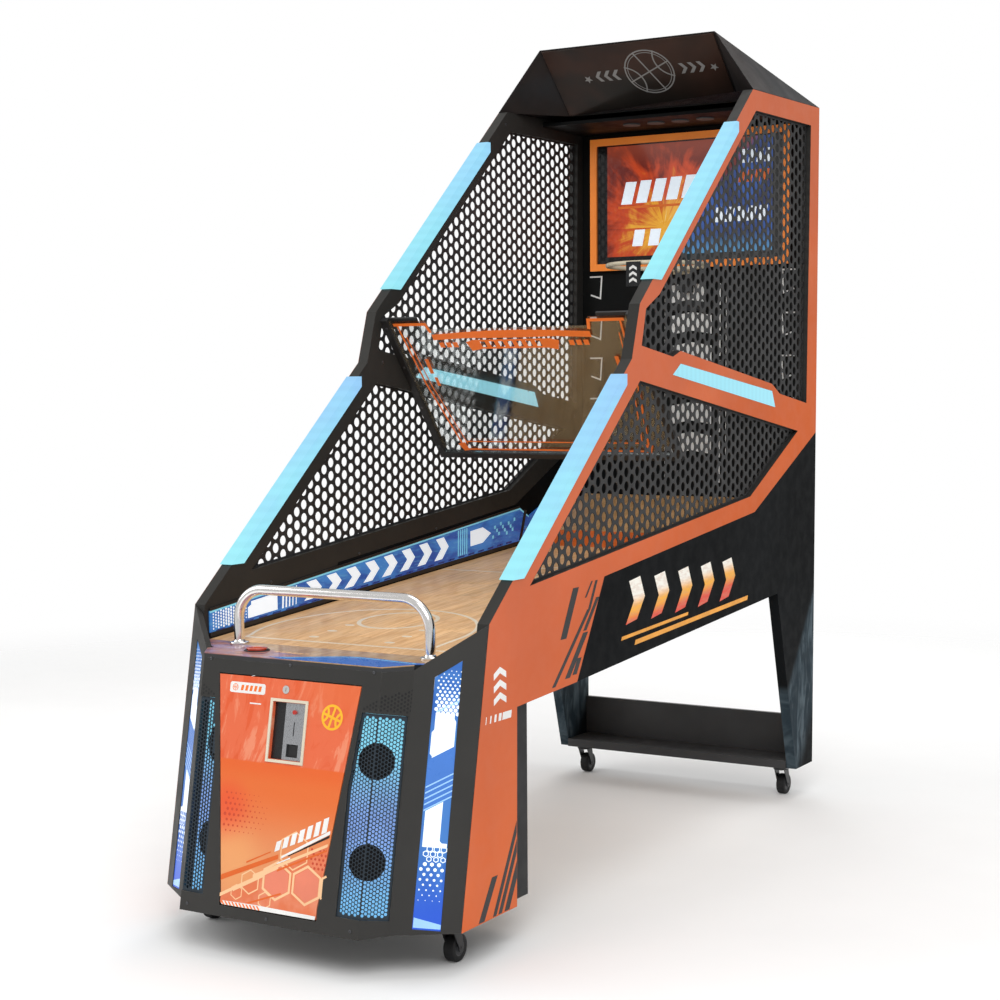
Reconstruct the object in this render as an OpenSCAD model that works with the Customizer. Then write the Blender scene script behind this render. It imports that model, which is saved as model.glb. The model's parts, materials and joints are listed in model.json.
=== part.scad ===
// Arcade basketball hoop machine.
// A sloping court runs back between two tall side frames to a hoop below a
// monitor. The low-poly front cabinet holds the coin door, the speakers and two
// lit wing panels. Millimetres, +Z up, +Y towards the back, X across.
// Every outline is drawn from the foot of the front face (Y = 0) and then moved
// back by half the depth, so the origin is on the floor under the middle.

/* [Overall] */
// Width over the outer faces of the side frames
machine_w = 1000; // [940:10:1100]
// Depth from the foot of the front face to the back face
machine_d = 2675; // [2665:5:2700]
// Height of the cabinet's underside above the datum
ground_gap = 94; // [90:1:100]
// Thickness of each side frame
frame_t = 37; // [34:1:40]

/* [Front cabinet] */
// Backward slope of the front facets, in mm per mm of height
prow_slope = 0.19; // [0.15:0.01:0.22]
// Half width of the flat front facet
front_half_w = 297; // [290:1:300]
// Thickness of the cabinet skin
skin_t = 18; // [15:1:20]
// Height of the ledge above the datum
ledge_z = 787; // [780:1:795]
// Thickness of the ledge board
ledge_t = 13; // [10:1:16]

/* [Court] */
// Slope of the court, in degrees
court_angle = 4.4; // [3.5:0.1:4.6]
// Distance from the front face to the start of the court
court_start = 345; // [340:1:350]
// Thickness of the court board
court_t = 18; // [15:1:21]

/* [Hoop and monitor] */
// Outside radius of the rim
rim_r = 190; // [170:5:190]
// Radius of the rim's bar
rim_bar_r = 8; // [6:1:9]
// Height of the rim
rim_z = 1955; // [1950:1:1956]
// Half width of the monitor's bezel
bezel_half_w = 414; // [410:1:425]

/* [Grab bar] */
// Outside diameter of the tube
grab_d = 29; // [25:1:32]
// Half the distance between the two legs
grab_half_w = 325; // [310:1:335]
// Height of the bar's centre above the ledge
grab_rise = 158; // [130:1:180]

/* [Casters] */
// Distance from the floor to the datum that all heights above are counted from
lift = 20; // [16:1:24]
// Radius of each wheel
wheel_r = 38; // [34:1:39]
// Width of each wheel
wheel_w = 32; // [24:1:34]
// Distance the axle trails the swivel
trail = 26; // [20:1:28]

/* [Hidden] */
$fn = 48;
run_fit = 0.05;
gap = 0.5;
half_w = machine_w / 2;
inner_x = half_w - frame_t;
lean = atan(prow_slope);

// ---- Outlines seen from the side, as [distance back, height] ----
foot_y = 181;
vertex_z = 888;
vertex_y = foot_y + (vertex_z - ground_gap) * prow_slope;
back_y = machine_d;
lower_elbow = [1161, 1593];
upper_elbow = [1214, 1758];
top_front = [2061, 2505];
top_back = [back_y, 2523];
seam_rear = [back_y, 1342];
seam_mid = [2101, 1078];
seam_front = [982, 956];
seam_foot = [813, 667];
arch_front = [473, 647];
side_outline = [
    [foot_y, ground_gap], [466, ground_gap], arch_front, seam_foot, seam_front,
    seam_mid, seam_rear, top_back, top_front, upper_elbow, lower_elbow, [vertex_y, vertex_z]
];
lower_outline = [
    seam_foot, [2316, 772], [2511, ground_gap], [back_y, ground_gap],
    seam_rear, seam_mid, seam_front
];
upper_opening = [
    [1225, 1633], [1444, 1603], [1500, 1622], [2247, 1520], [2321, 1485], [2578, 1450],
    [2594, 2451], [2088, 2438], [1348, 1792], [1255, 1745]
];
lower_opening = [[546, 970], [2063, 1134], [2496, 1350], [1215, 1528]];
bar_slot = [[1443, 1547], [2277, 1438], [2247, 1495], [1500, 1582]];

// ---- Outline of the front cabinet seen from above, square to its facets ----
prow_turn = cos(lean);
fold_1 = [front_half_w, 0];
fold_2 = [348, 74 * prow_turn];
wing_end = [half_w, foot_y * prow_turn];
prow_points = [
    [-half_w, 400], [-wing_end[0], wing_end[1]], [-fold_2[0], fold_2[1]], [-fold_1[0], 0],
    fold_1, fold_2, wing_end, [half_w, 400]
];
cheek_turn = atan2(fold_2[1] - fold_1[1], fold_2[0] - fold_1[0]);
wing_turn = atan2(wing_end[1] - fold_2[1], wing_end[0] - fold_2[0]);
prow_top_z = ledge_z - ledge_t;

// ---- Court line ----
court_end = 2152;
court_rise = tan(court_angle);
function court_z(y) = ledge_z + (y - court_start) * court_rise;

// ---- Door, in the tilted frame of the front facet ----
door_bottom = 33;
door_top = 651;
door_foot_half = 160;
door_head_half = 236;
door_gap = 3;
hinge_r = 4;
hinge_w = door_bottom + skin_t / 2;
window = [-44, 437, 63, 590];
lock_pos = [-6, 624];
lock_r = 11;

// ---- Casters ----
front_caster = [415, 256];
rear_caster = [420, 2562];
kingpin_r = 6;
axle_r = 4;

function unit(v) = v / norm(v);
function left_normal(v) = [-v[1], v[0]];
function miter(n1, n2) = (n1 + n2) / (1 + n1 * n2);
function edge_normal(a, b) = left_normal(unit(b - a));
// A closed outline moved inwards by d, for points in counterclockwise order
function inset(points, d) = [
    for (i = [0 : len(points) - 1])
        let (
            n = len(points),
            before = points[(i + n - 1) % n],
            here = points[i],
            after = points[(i + 1) % n]
        )
        here + d * miter(edge_normal(before, here), edge_normal(here, after))
];

// ---- Placing helpers ----
// Moves a shape from the foot of the front face to the machine's origin
module from_front() translate([0, -machine_d / 2, lift]) children();

module on_side(side) {
    if (side > 0) children();
    else mirror([1, 0, 0]) children();
}

// Extrudes an outline drawn as [Y, Z] from x0 to x1
module across(x0, x1) translate([x0, 0, 0]) rotate([90, 0, 90]) linear_extrude(x1 - x0) children();

// Extrudes an outline drawn as [X, Z] from y0 to y1
module deep(y0, y1) translate([0, y1, 0]) rotate([90, 0, 0]) linear_extrude(y1 - y0) children();

// The tilted frame of the front cabinet: Z runs up the sloping facets
module prow() translate([0, 0, ground_gap]) rotate([-lean, 0, 0]) children();

// The local frame of one wing facet, with X along the facet from its inner fold
module on_wing() prow() translate([fold_2[0], fold_2[1], 0]) rotate([0, 0, wing_turn]) children();

module x_rod(r, x0, x1, y, z) translate([x0, y, z]) rotate([0, 90, 0]) cylinder(r = r, h = x1 - x0);

module y_rod(r, y0, y1, x, z) translate([x, y1, z]) rotate([90, 0, 0]) cylinder(r = r, h = y1 - y0);

module z_rod(r, z0, z1, x, y) translate([x, y, z0]) cylinder(r = r, h = z1 - z0);

module block(x0, x1, y0, y1, z0, z1) translate([x0, y0, z0]) cube([x1 - x0, y1 - y0, z1 - z0]);

// ---- Side frames and their panels ----
module side_frame(side) color("#e06c3c") from_front() on_side(side) across(inner_x, half_w)
    difference() {
        polygon(side_outline);
        polygon(upper_opening);
        polygon(lower_opening);
        polygon(bar_slot);
    }

gate_y = 2165;
gate_z = 926;
gate_rod_r = 5;
gate_rod_end = inner_x + 11;
module lower_panel(side) color("#17191c") from_front() on_side(side) difference() {
    across(inner_x, half_w) polygon(inset(lower_outline, gap));
    x_rod(gate_rod_r + run_fit, inner_x - 1, gate_rod_end + 1, gate_y, gate_z);
}

mesh_t = 3;
mesh_x = half_w - frame_t / 2 - mesh_t / 2;
module mesh_panel(side, opening) color("#3a3a3c") from_front() on_side(side)
    across(mesh_x, mesh_x + mesh_t) polygon(inset(opening, gap));

// U-shaped light cover that wraps the front edge from height z0 to z1, with the rear
// corner of its upper end cut upright
light_wall = 4;
light_depth = 34;
light_tip = 14;
module edge_light(side, low, high, z0, z1) {
    run = high - low;
    slope = atan2(run[1], run[0]);
    tip_y = low[0] + (z1 - low[1]) * run[0] / run[1];
    color("#96ebfa") from_front() on_side(side) intersection() {
        translate([half_w - frame_t / 2, low[0], low[1]])
            rotate([slope - 90, 0, 0])
                linear_extrude(norm(run)) difference() {
                    translate([-frame_t / 2 - light_wall, -light_wall])
                        square([frame_t + 2 * light_wall, light_wall + light_depth]);
                    translate([-frame_t / 2 - 0.1, -0.1])
                        square([frame_t + 0.2, light_depth + 1]);
                }
        block(0, half_w + 20, 0, tip_y + light_tip, z0, z1);
    }
}

module edge_light_upper(side) edge_light(side, upper_elbow, top_front, 1836, 2382);
module edge_light_lower(side) edge_light(side, [vertex_y, vertex_z], lower_elbow, 994, 1548);

module bar_light(side) color("#96ebfa") from_front() on_side(side)
    across(inner_x - 1, half_w + 1) polygon(inset(bar_slot, gap / 2));

// ---- Front cabinet ----
speaker_r = 48;
speaker_heights = [195, 459];
speaker_turn = cheek_turn / 2;
module at_speakers() for (w = speaker_heights)
    translate([fold_1[0], fold_1[1], w]) rotate([0, 0, speaker_turn]) rotate([90, 0, 0]) children();

grille_low = 52;
grille_high = 584;
grille_inner = 222;
grille_cheek = 83;
grille_flare = [[grille_inner, 380], [245, grille_high]];
// Plan of the folded strip between two depths, with its two ends cut back by shrink
module grille_band(front, back, shrink) {
    front_points = inset(prow_points, front);
    rear_points = inset(prow_points, back);
    turn = [-sin(cheek_turn), cos(cheek_turn)];
    outer = fold_1 + (grille_cheek - shrink) * [cos(cheek_turn), sin(cheek_turn)];
    polygon([
        [grille_inner + shrink, front], front_points[4], outer + front * turn,
        outer + back * turn, rear_points[4], [grille_inner + shrink, back]
    ]);
}
module grille_solid(front, back, shrink) difference() {
    translate([0, 0, grille_low + shrink]) linear_extrude(grille_high - grille_low - 2 * shrink)
        grille_band(front, back, shrink);
    deep(-20, 60) polygon([
        [grille_inner - 40, grille_flare[0][1]], grille_flare[0] + [shrink, 0],
        grille_flare[1] + [shrink, 1], [grille_inner - 40, grille_high + 1]
    ]);
}
module door_outline(extra) polygon([
    [-door_foot_half - extra, door_bottom - extra], [door_foot_half + extra, door_bottom - extra],
    [door_foot_half + extra, hinge_w + 20], [door_head_half + extra, door_top + extra],
    [-door_head_half - extra, door_top + extra], [-door_foot_half - extra, hinge_w + 20]
]);
wing_light_outline = [[55, 35], [130, 35], [124, 742], [55, 692]];
hinge_pin_out = door_foot_half + 14;
hinge_pin_in = door_foot_half - 26;

module prow_skin() difference() {
    translate([0, 0, -100]) linear_extrude(1050) difference() {
        polygon(prow_points);
        polygon(inset(prow_points, skin_t));
        translate([-half_w - 1, wing_end[1] - gap]) square([machine_w + 2, 400]);
    }
    deep(-5, skin_t + 5) door_outline(door_gap);
}

module prow_floor() difference() {
    translate([0, 0, ground_gap]) linear_extrude(skin_t) polygon([
        [-inner_x + 1, 452], [-inner_x + 1, 184], [-352, 102], [-290, 22],
        [290, 22], [352, 102], [inner_x - 1, 184], [inner_x - 1, 452]
    ]);
    prow() deep(-5, 60) polygon([[-180, 10], [180, 10], [180, 90], [-180, 90]]);
}

module front_cabinet() color("#3b3a38") from_front() {
    intersection() {
        union() {
            difference() {
                prow() prow_skin();
                for (side = [-1, 1]) on_side(side) {
                    prow() grille_solid(-2, skin_t + 2, 0);
                    on_wing() deep(-5, skin_t + 5) polygon(wing_light_outline);
                }
            }
            for (side = [-1, 1]) on_side(side) prow()
                x_rod(hinge_r, hinge_pin_in, hinge_pin_out, skin_t / 2, hinge_w);
        }
        deep(-50, 700) polygon([
            [-half_w, ground_gap], [half_w, ground_gap], [half_w, vertex_z],
            [fold_2[0], prow_top_z], [-fold_2[0], prow_top_z], [-half_w, vertex_z]
        ]);
    }
    prow_floor();
}

// Narrow carcass behind the side frames that closes the base
box_back = 590;
module base_box() color("#2a2a2b") from_front() difference() {
    block(-inner_x + 1, inner_x - 1, 453, box_back, ground_gap, 650);
    block(-inner_x + 19, inner_x - 19, 400, box_back - 18, ground_gap + 18, 640);
}

module cash_box() color("#9a9ca0") from_front() difference() {
    block(-110, 110, 130, 330, ground_gap + skin_t, 250);
    block(-107, 107, 133, 327, ground_gap + skin_t + 3, 247);
    block(-15, 60, 160, 200, 240, 260);
}

// ---- Coin door and what it carries ----
module window_cut(extra) translate([window[0] - extra, window[1] - extra])
    square([window[2] - window[0] + 2 * extra, window[3] - window[1] + 2 * extra]);

module coin_door() color("#e8703a") from_front() prow() difference() {
    union() {
        intersection() {
            deep(0, skin_t) door_outline(0);
            block(-300, 300, -1, skin_t + 1, hinge_w, door_top + 1);
        }
        x_rod(skin_t / 2, -door_foot_half, door_foot_half, skin_t / 2, hinge_w);
    }
    deep(-1, skin_t + 1) window_cut(0);
    y_rod(lock_r + run_fit, -1, skin_t + 1, lock_pos[0], lock_pos[1]);
    for (side = [-1, 1]) on_side(side)
        x_rod(hinge_r + run_fit, hinge_pin_in - 2, door_foot_half + 1, skin_t / 2, hinge_w);
}

module coin_frame() color("#efe6d2") from_front() prow() deep(-3, -0.1) difference() {
    window_cut(9);
    window_cut(1);
}

flap_x = [9, 47];
flap_z = [446, 480];
flap_rod_r = 2;
flap_pos = [10, 477];
button_pos = [28, 566];
button_r = 6;
module coin_mech() color("#b9bcc0") from_front() prow() difference() {
    union() {
        block(window[0] + gap, window[2] - gap, 10, 72, window[1] + gap, window[3] - gap);
        block(-4, window[2] - gap, 4, 10, window[1] + gap, window[3] - gap);
    }
    block(26.5, 29.5, 3, 40, 502, 540);
    block(flap_x[0], flap_x[1], 3, 60, flap_z[0], flap_z[1]);
    x_rod(flap_rod_r + run_fit, flap_x[0] - 4, flap_x[1] + 4, flap_pos[0], flap_pos[1]);
    y_rod(button_r + run_fit, 3, 30, button_pos[0], button_pos[1]);
}

module coin_return_flap() color("#2b2b2d") from_front() prow() union() {
    block(flap_x[0] + 1, flap_x[1] - 1, flap_pos[0] - 1.5, flap_pos[0] + 1.5, flap_z[0] + 1, flap_pos[1]);
    x_rod(flap_rod_r, flap_x[0] - 3.5, flap_x[1] + 3.5, flap_pos[0], flap_pos[1]);
}

module reject_button() color("#c23a2a") from_front() prow()
    y_rod(button_r, -1, 22, button_pos[0], button_pos[1]);

module door_lock() color("#d2d4d6") from_front() prow() difference() {
    union() {
        y_rod(lock_r, -2, 22, lock_pos[0], lock_pos[1]);
        block(lock_pos[0] - 6, lock_pos[0] + 42, 22, 25, lock_pos[1] - 6, lock_pos[1] + 6);
    }
    block(lock_pos[0] - 1, lock_pos[0] + 1, -3, 4, lock_pos[1] - 5, lock_pos[1] + 5);
}

// ---- Speakers and lit panels ----
module speaker_grille(side) color("#4fb6dc") from_front() on_side(side) prow()
    grille_solid(3, 5, gap);

// Board across the back of the fold that carries the speakers
speaker_depth = 60;
module speaker_board() difference() {
    translate([fold_1[0], fold_1[1], 0]) rotate([0, 0, speaker_turn])
        block(-73, 73, speaker_depth, speaker_depth + 6, grille_low - 8, grille_high + 8);
    deep(0, 120) polygon([
        [grille_inner - 80, grille_flare[0][1]], grille_flare[0] - [15, 0],
        grille_flare[1] - [15, 0], [grille_flare[1][0] - 15, grille_high + 9],
        [grille_inner - 80, grille_high + 9]
    ]);
}

module speakers() color("#1d1d1f") from_front() for (side = [-1, 1]) on_side(side) prow() {
    speaker_board();
    at_speakers() {
        translate([0, 0, -speaker_depth - 28]) cylinder(r = speaker_r, h = 30);
        translate([0, 0, -speaker_depth - 56]) cylinder(r = 24, h = 29);
    }
}

module wing_light(side) color("#3f74e6") from_front() on_side(side)
    on_wing() deep(2, 7) polygon(inset(wing_light_outline, gap));

// ---- Ledge, button and grab bar ----
button_seat = [-190, 225];
start_r = 30;
ledge_front = (prow_top_z - ground_gap) * prow_slope;
module front_ledge() color("#c99f6b") from_front() difference() {
    translate([0, 0, prow_top_z + 0.2]) linear_extrude(ledge_t - 0.2) polygon([
        [-inner_x + gap, court_start - 2], [-inner_x + gap, ledge_front + foot_y - 24],
        [-fold_2[0], ledge_front + 74], [-fold_1[0], ledge_front], [fold_1[0], ledge_front],
        [fold_2[0], ledge_front + 74], [inner_x - gap, ledge_front + foot_y - 24],
        [inner_x - gap, court_start - 2]
    ]);
    for (side = [-1, 1]) on_side(side) on_wing()
        block(-1, 260, -60, skin_t + 1, 600, 900);
    z_rod(start_r - 4 + run_fit, ledge_z - ledge_t - 5, ledge_z + 5, button_seat[0], button_seat[1]);
}

module start_button() color("#e8642a") from_front() translate([button_seat[0], button_seat[1], 0]) {
    z_rod(start_r - 4, ledge_z - ledge_t - 8, ledge_z + 7, 0, 0);
    intersection() {
        translate([0, 0, ledge_z - 91.25]) sphere(r = 102.25);
        z_rod(start_r, ledge_z + 6.5, ledge_z + 30, 0, 0);
    }
}

grab_y = 315;
bend_r = 88;
module grab_bend() translate([grab_half_w - bend_r, grab_y, ledge_z + grab_rise - bend_r])
    rotate([90, 0, 0]) rotate_extrude(angle = 90) translate([bend_r, 0]) circle(r = grab_d / 2);

module grab_bar() color("#d9dcde") from_front() {
    for (side = [-1, 1]) on_side(side) {
        z_rod(grab_d / 2, ledge_z + 0.1, ledge_z + grab_rise - bend_r, grab_half_w, grab_y);
        z_rod(28, ledge_z + 0.1, ledge_z + 5, grab_half_w, grab_y);
        grab_bend();
    }
    x_rod(grab_d / 2, -grab_half_w + bend_r, grab_half_w - bend_r, grab_y, ledge_z + grab_rise);
}

// ---- Court, ramp, gate and banners ----
court_half = inner_x - 5;
module court_floor() color("#c79c66") from_front() across(-court_half, court_half) polygon([
    [court_start, court_z(court_start) - court_t], [court_end, court_z(court_end) - court_t],
    [court_end, court_z(court_end)], [court_start, court_z(court_start)]
]);

rail_h = 45;
module court_rails() color("#6b6d70") from_front() {
    for (side = [-1, 1]) on_side(side) across(350, 390) polygon([
        [court_start, court_z(court_start) - court_t - rail_h],
        [court_end, court_z(court_end) - court_t - rail_h],
        [court_end, court_z(court_end) - court_t - gap],
        [court_start, court_z(court_start) - court_t - gap]
    ]);
    for (y = [420, 1240, 2060]) block(
        -inner_x + 0.2, inner_x - 0.2, y, y + 40, court_z(y) - court_t - rail_h - 6, court_z(y) - court_t - 8
    );
}

ramp_low = [2182, 931];
ramp_high = [2628, 1093];
module rear_ramp() color("#b98d58") from_front() across(-court_half, court_half) polygon([
    ramp_low - [0, 14], ramp_high - [0, 14], ramp_high, ramp_low
]);

module ball_gate() color("#e07a2c") from_front() union() {
    block(-court_half + 3, court_half - 3, gate_y - 3, gate_y + 3, gate_z, gate_z + 59);
    x_rod(gate_rod_r, -gate_rod_end, gate_rod_end, gate_y, gate_z);
}

module banner(side) color("#2f6fd0") from_front() on_side(side) across(inner_x - 4.5, inner_x - gap)
    polygon([
        [court_start + 2, ledge_z + 18], [2125, court_z(2125) + 16], [2200, 956],
        [2620, 1109], [2620, 1187], [2190, 1030], [2125, 1064], [court_start + 2, 868]
    ]);

// ---- Clear shield between the elbows ----
shield_top = [1251, 1725];
shield_foot = [1591, 1293];
shield_len = norm(shield_foot - shield_top);
shield_lean = atan2(shield_foot[0] - shield_top[0], shield_top[1] - shield_foot[1]);
shield_half = 438;
module at_shield() translate([0, shield_top[0], shield_top[1]]) rotate([shield_lean, 0, 0]) children();

module shield_panel() color([0.85, 0.92, 0.95, 0.35]) from_front() at_shield() deep(-3, 3) polygon([
    [-shield_half, -shield_len], [shield_half, -shield_len], [shield_half, 0], [300, 0],
    [292, -34], [-292, -34], [-300, 0], [-shield_half, 0]
]);

module shield_frame() color("#2d2d2f") from_front() at_shield() {
    for (side = [-1, 1]) on_side(side) {
        block(shield_half + gap, inner_x - 0.2, -10, 10, -shield_len - 20, 12);
        block(330, inner_x - 0.2, 3.2, 10, -20, 12);
    }
    block(-inner_x + 0.2, inner_x - 0.2, -10, 10, -shield_len - 20, -shield_len - gap);
}

// ---- Back wall and header ----
wall_y = [2632, 2650];
door_x = [-404, 396];
door_z = [1900, 2490];
pivot = [408, 2667];
pivot_r = 3;
module back_panel() color("#1b1c1e") from_front() {
    difference() {
        block(-inner_x + gap, inner_x - gap, wall_y[0], wall_y[1], 772, top_z(wall_y[0]) - 0.9);
        block(-397, 397, wall_y[0] - 1, wall_y[1] + 1, 1974, 2453);
    }
    for (z = [1930, 2420]) {
        block(pivot[0] - 5, pivot[0] + 5, wall_y[1], pivot[1] - 4, z, z + 12);
        z_rod(6, z, z + 12, pivot[0], pivot[1]);
        z_rod(pivot_r, z, z + 40, pivot[0], pivot[1]);
    }
}

module service_door() color("#26282b") from_front() difference() {
    union() {
        block(door_x[0], door_x[1], 2660, 2674, door_z[0], door_z[1]);
        for (z = [1943, 2433]) {
            z_rod(6, z, z + 24, pivot[0], pivot[1]);
            block(door_x[1] - 1, pivot[0], pivot[1] - 3, pivot[1] + 3, z, z + 24);
        }
    }
    for (z = [1943, 2433]) z_rod(pivot_r + run_fit, z - 1, z + 25, pivot[0], pivot[1]);
}

soffit_z = 2484;
light_xs = [-150, -50, 50, 150];
light_y = 2440;
module soffit() color("#19191b") from_front() difference() {
    block(-inner_x + gap, inner_x - gap, 2322, wall_y[0] - gap, soffit_z, soffit_z + 12);
    for (x = light_xs) z_rod(27, soffit_z - 1, soffit_z + 13, x, light_y);
}

module downlights() color("#f2f0e6") from_front() for (x = light_xs) {
    z_rod(26.5, soffit_z - 2, soffit_z + 18, x, light_y);
    z_rod(32, soffit_z - 4, soffit_z - 0.2, x, light_y);
}

ridge = [2090, 2716];
ridge_half = 343;
brow_y = 2311;
top_slope = (top_back[1] - top_front[1]) / (top_back[0] - top_front[0]);
function top_z(y) = top_front[1] + 0.5 + (y - top_front[0]) * top_slope;
header_faces = [
    [5, 4, 3, 2, 1, 0], [1, 2, 7, 6], [1, 6, 0], [2, 3, 7], [6, 5, 0], [3, 4, 7], [6, 7, 4, 5]
];
// Corners of the header moved inwards so that every wall is about t thick or more,
// with the open base lowered by drop
function header_points(t, drop) = let(
    x = half_w - 3 * t,
    front = top_front[0] + 7.5 * t,
    back = back_y - 3.5 * t,
    brow = brow_y + 3 * t
) [
    [-x, front, top_z(front) - drop],
    [-x, back, top_z(back) - drop],
    [x, back, top_z(back) - drop],
    [x, front, top_z(front) - drop],
    [ridge_half, brow, top_z(brow) - drop],
    [-ridge_half, brow, top_z(brow) - drop],
    [-ridge_half, ridge[0] + 5.5 * t, ridge[1] - 3.2 * t],
    [ridge_half, ridge[0] + 5.5 * t, ridge[1] - 3.2 * t]
];
module header_shell() color("#232325") from_front() difference() {
    polyhedron(points = header_points(0, 0), faces = header_faces);
    polyhedron(points = header_points(8, 4), faces = header_faces);
}

marquee_tilt = atan2(brow_y - ridge[0], ridge[1] - top_z(brow_y));
marquee_len = norm([brow_y - ridge[0], ridge[1] - top_z(brow_y)]);
module marquee_panel() color("#35302c") from_front()
    translate([0, ridge[0], ridge[1]]) rotate([marquee_tilt, 0, 0])
        block(-ridge_half + 6, ridge_half - 6, -4.5, -gap, -marquee_len + 5, -6);

// ---- Monitor ----
bezel_z = [1962, 2465];
bezel_rim = 26;
module monitor() color("#101114") from_front() block(-395, 395, 2614.3, 2656, 1976, 2451);

module monitor_bezel() color("#f07d23") from_front() deep(2604, 2614) difference() {
    translate([-bezel_half_w, bezel_z[0]])
        square([2 * bezel_half_w, bezel_z[1] - bezel_z[0]]);
    translate([-bezel_half_w + bezel_rim, bezel_z[0] + bezel_rim])
        square([2 * (bezel_half_w - bezel_rim), bezel_z[1] - bezel_z[0] - 2 * bezel_rim]);
}

// ---- Hoop ----
rim_y = 2351;
rim_pivot = [2570, 1941];
rim_pin_r = 3;
module hoop_bracket() color("#2c2c2e") from_front() {
    block(-75, 75, wall_y[0] - 12, wall_y[0] - 0.1, 1800, 1948);
    for (side = [-1, 1]) on_side(side)
        block(39, 46, rim_pivot[0] - 9, wall_y[0] - 11, 1900, 1948);
    block(-46, 46, rim_pivot[0] + 16, wall_y[0] - 11, 1900, 1912);
    x_rod(rim_pin_r, -46, 46, rim_pivot[0], rim_pivot[1]);
    block(-22, 22, rim_pivot[0] + 10, rim_pivot[0] + 50, 1868, 1900);
}

module hoop_rim() color("#e9dfc6") from_front() difference() {
    union() {
        translate([0, rim_y, rim_z]) rotate_extrude() translate([rim_r - rim_bar_r, 0])
            circle(r = rim_bar_r);
        block(-36, 36, rim_y + rim_r - 12, rim_pivot[0], rim_z - 10, rim_z - 4);
        x_rod(7, -38, 38, rim_pivot[0], rim_pivot[1]);
        block(-36, 36, rim_pivot[0] - 6, rim_pivot[0], rim_pivot[1], rim_z - 4);
    }
    x_rod(rim_pin_r + run_fit, -40, 40, rim_pivot[0], rim_pivot[1]);
}

module rim_plate() color("#161618") from_front()
    block(-28, 28, rim_y - rim_r - 6, rim_y - rim_r - 0.2, rim_z - 84, rim_z + 3);

// ---- Rear base ----
shelf_y = 2500;
module storage_shelf() color("#252628") from_front() {
    block(-inner_x + gap, inner_x - gap, shelf_y, back_y - 2, ground_gap, ground_gap + 30);
    block(-inner_x + gap, inner_x - gap, back_y - 20, back_y - 2, ground_gap + 30, 272);
}

// ---- Casters ----
module at_caster(side, seat) translate([side * seat[0], seat[1], 0]) children();

fork_top = ground_gap - 7;
module caster_plate() {
    difference() {
        block(-40, 40, -40, 40, ground_gap - 4.2, ground_gap - 0.2);
        for (x = [-30, 30], y = [-30, 30])
            z_rod(4.5, ground_gap - 6, ground_gap + 1, x, y);
    }
    z_rod(kingpin_r, fork_top - 9, ground_gap - 4, 0, 0);
    z_rod(kingpin_r + 4, fork_top - 13, fork_top - 9, 0, 0);
}

module caster_plates() color("#8b8e92") from_front() {
    for (side = [-1, 1], seat = [front_caster, rear_caster]) at_caster(side, seat) caster_plate();
}

axle_z = wheel_r - lift;
module fork_cheek() across(wheel_w / 2 + 2, wheel_w / 2 + 5) {
    polygon([
        [-20, fork_top - 2], [20, fork_top - 2], [trail + 12, axle_z + 4],
        [trail, axle_z - 11], [trail - 12, axle_z + 4]
    ]);
    translate([trail, axle_z]) circle(r = 12);
}

module fork(side, seat) color("#1e1e20") from_front() at_caster(side, seat) union() {
    difference() {
        z_rod(29, fork_top - 8, fork_top, 0, 0);
        z_rod(kingpin_r + run_fit, fork_top - 9, fork_top + 1, 0, 0);
    }
    for (cheek = [-1, 1]) on_side(cheek) fork_cheek();
    x_rod(axle_r, -wheel_w / 2 - 6, wheel_w / 2 + 6, trail, axle_z);
}

module wheel(side, seat) color("#151515") from_front() at_caster(side, seat) difference() {
    x_rod(wheel_r, -wheel_w / 2, wheel_w / 2, trail, axle_z);
    x_rod(axle_r + run_fit, -wheel_w, wheel_w, trail, axle_z);
}

side_frame(-1);  // side_frame_left
side_frame(1);  // side_frame_right
lower_panel(-1);  // lower_panel_left
lower_panel(1);  // lower_panel_right
mesh_panel(-1, upper_opening);  // mesh_upper_left
mesh_panel(1, upper_opening);  // mesh_upper_right
mesh_panel(-1, lower_opening);  // mesh_lower_left
mesh_panel(1, lower_opening);  // mesh_lower_right
edge_light_upper(-1);  // edge_light_upper_left
edge_light_upper(1);  // edge_light_upper_right
edge_light_lower(-1);  // edge_light_lower_left
edge_light_lower(1);  // edge_light_lower_right
bar_light(-1);  // bar_light_left
bar_light(1);  // bar_light_right
front_cabinet();
base_box();
cash_box();
coin_door();
coin_frame();
coin_mech();
coin_return_flap();
reject_button();
door_lock();
speaker_grille(-1);  // speaker_grille_left
speaker_grille(1);  // speaker_grille_right
speakers();
wing_light(-1);  // wing_light_left
wing_light(1);  // wing_light_right
front_ledge();
start_button();
grab_bar();
court_floor();
court_rails();
rear_ramp();
ball_gate();
banner(-1);  // banner_left
banner(1);  // banner_right
shield_panel();
shield_frame();
back_panel();
service_door();
soffit();
downlights();
header_shell();
marquee_panel();
monitor();
monitor_bezel();
hoop_bracket();
hoop_rim();
rim_plate();
storage_shelf();
caster_plates();
fork(-1, front_caster);  // fork_front_left
fork(1, front_caster);  // fork_front_right
fork(-1, rear_caster);  // fork_rear_left
fork(1, rear_caster);  // fork_rear_right
wheel(-1, front_caster);  // wheel_front_left
wheel(1, front_caster);  // wheel_front_right
wheel(-1, rear_caster);  // wheel_rear_left
wheel(1, rear_caster);  // wheel_rear_right
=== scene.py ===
"""The looks of an arcade basketball hoop machine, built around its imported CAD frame.

Lengths in the art tables are millimetres in the plane they are drawn on. Seen from the side,
a point is [distance back from the foot of the front face, height above the datum], and the
datum is LIFT above the floor.
"""

import json
import math

import bmesh
import bpy
from mathutils import Matrix, Vector
from mathutils.geometry import delaunay_2d_cdt

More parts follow.
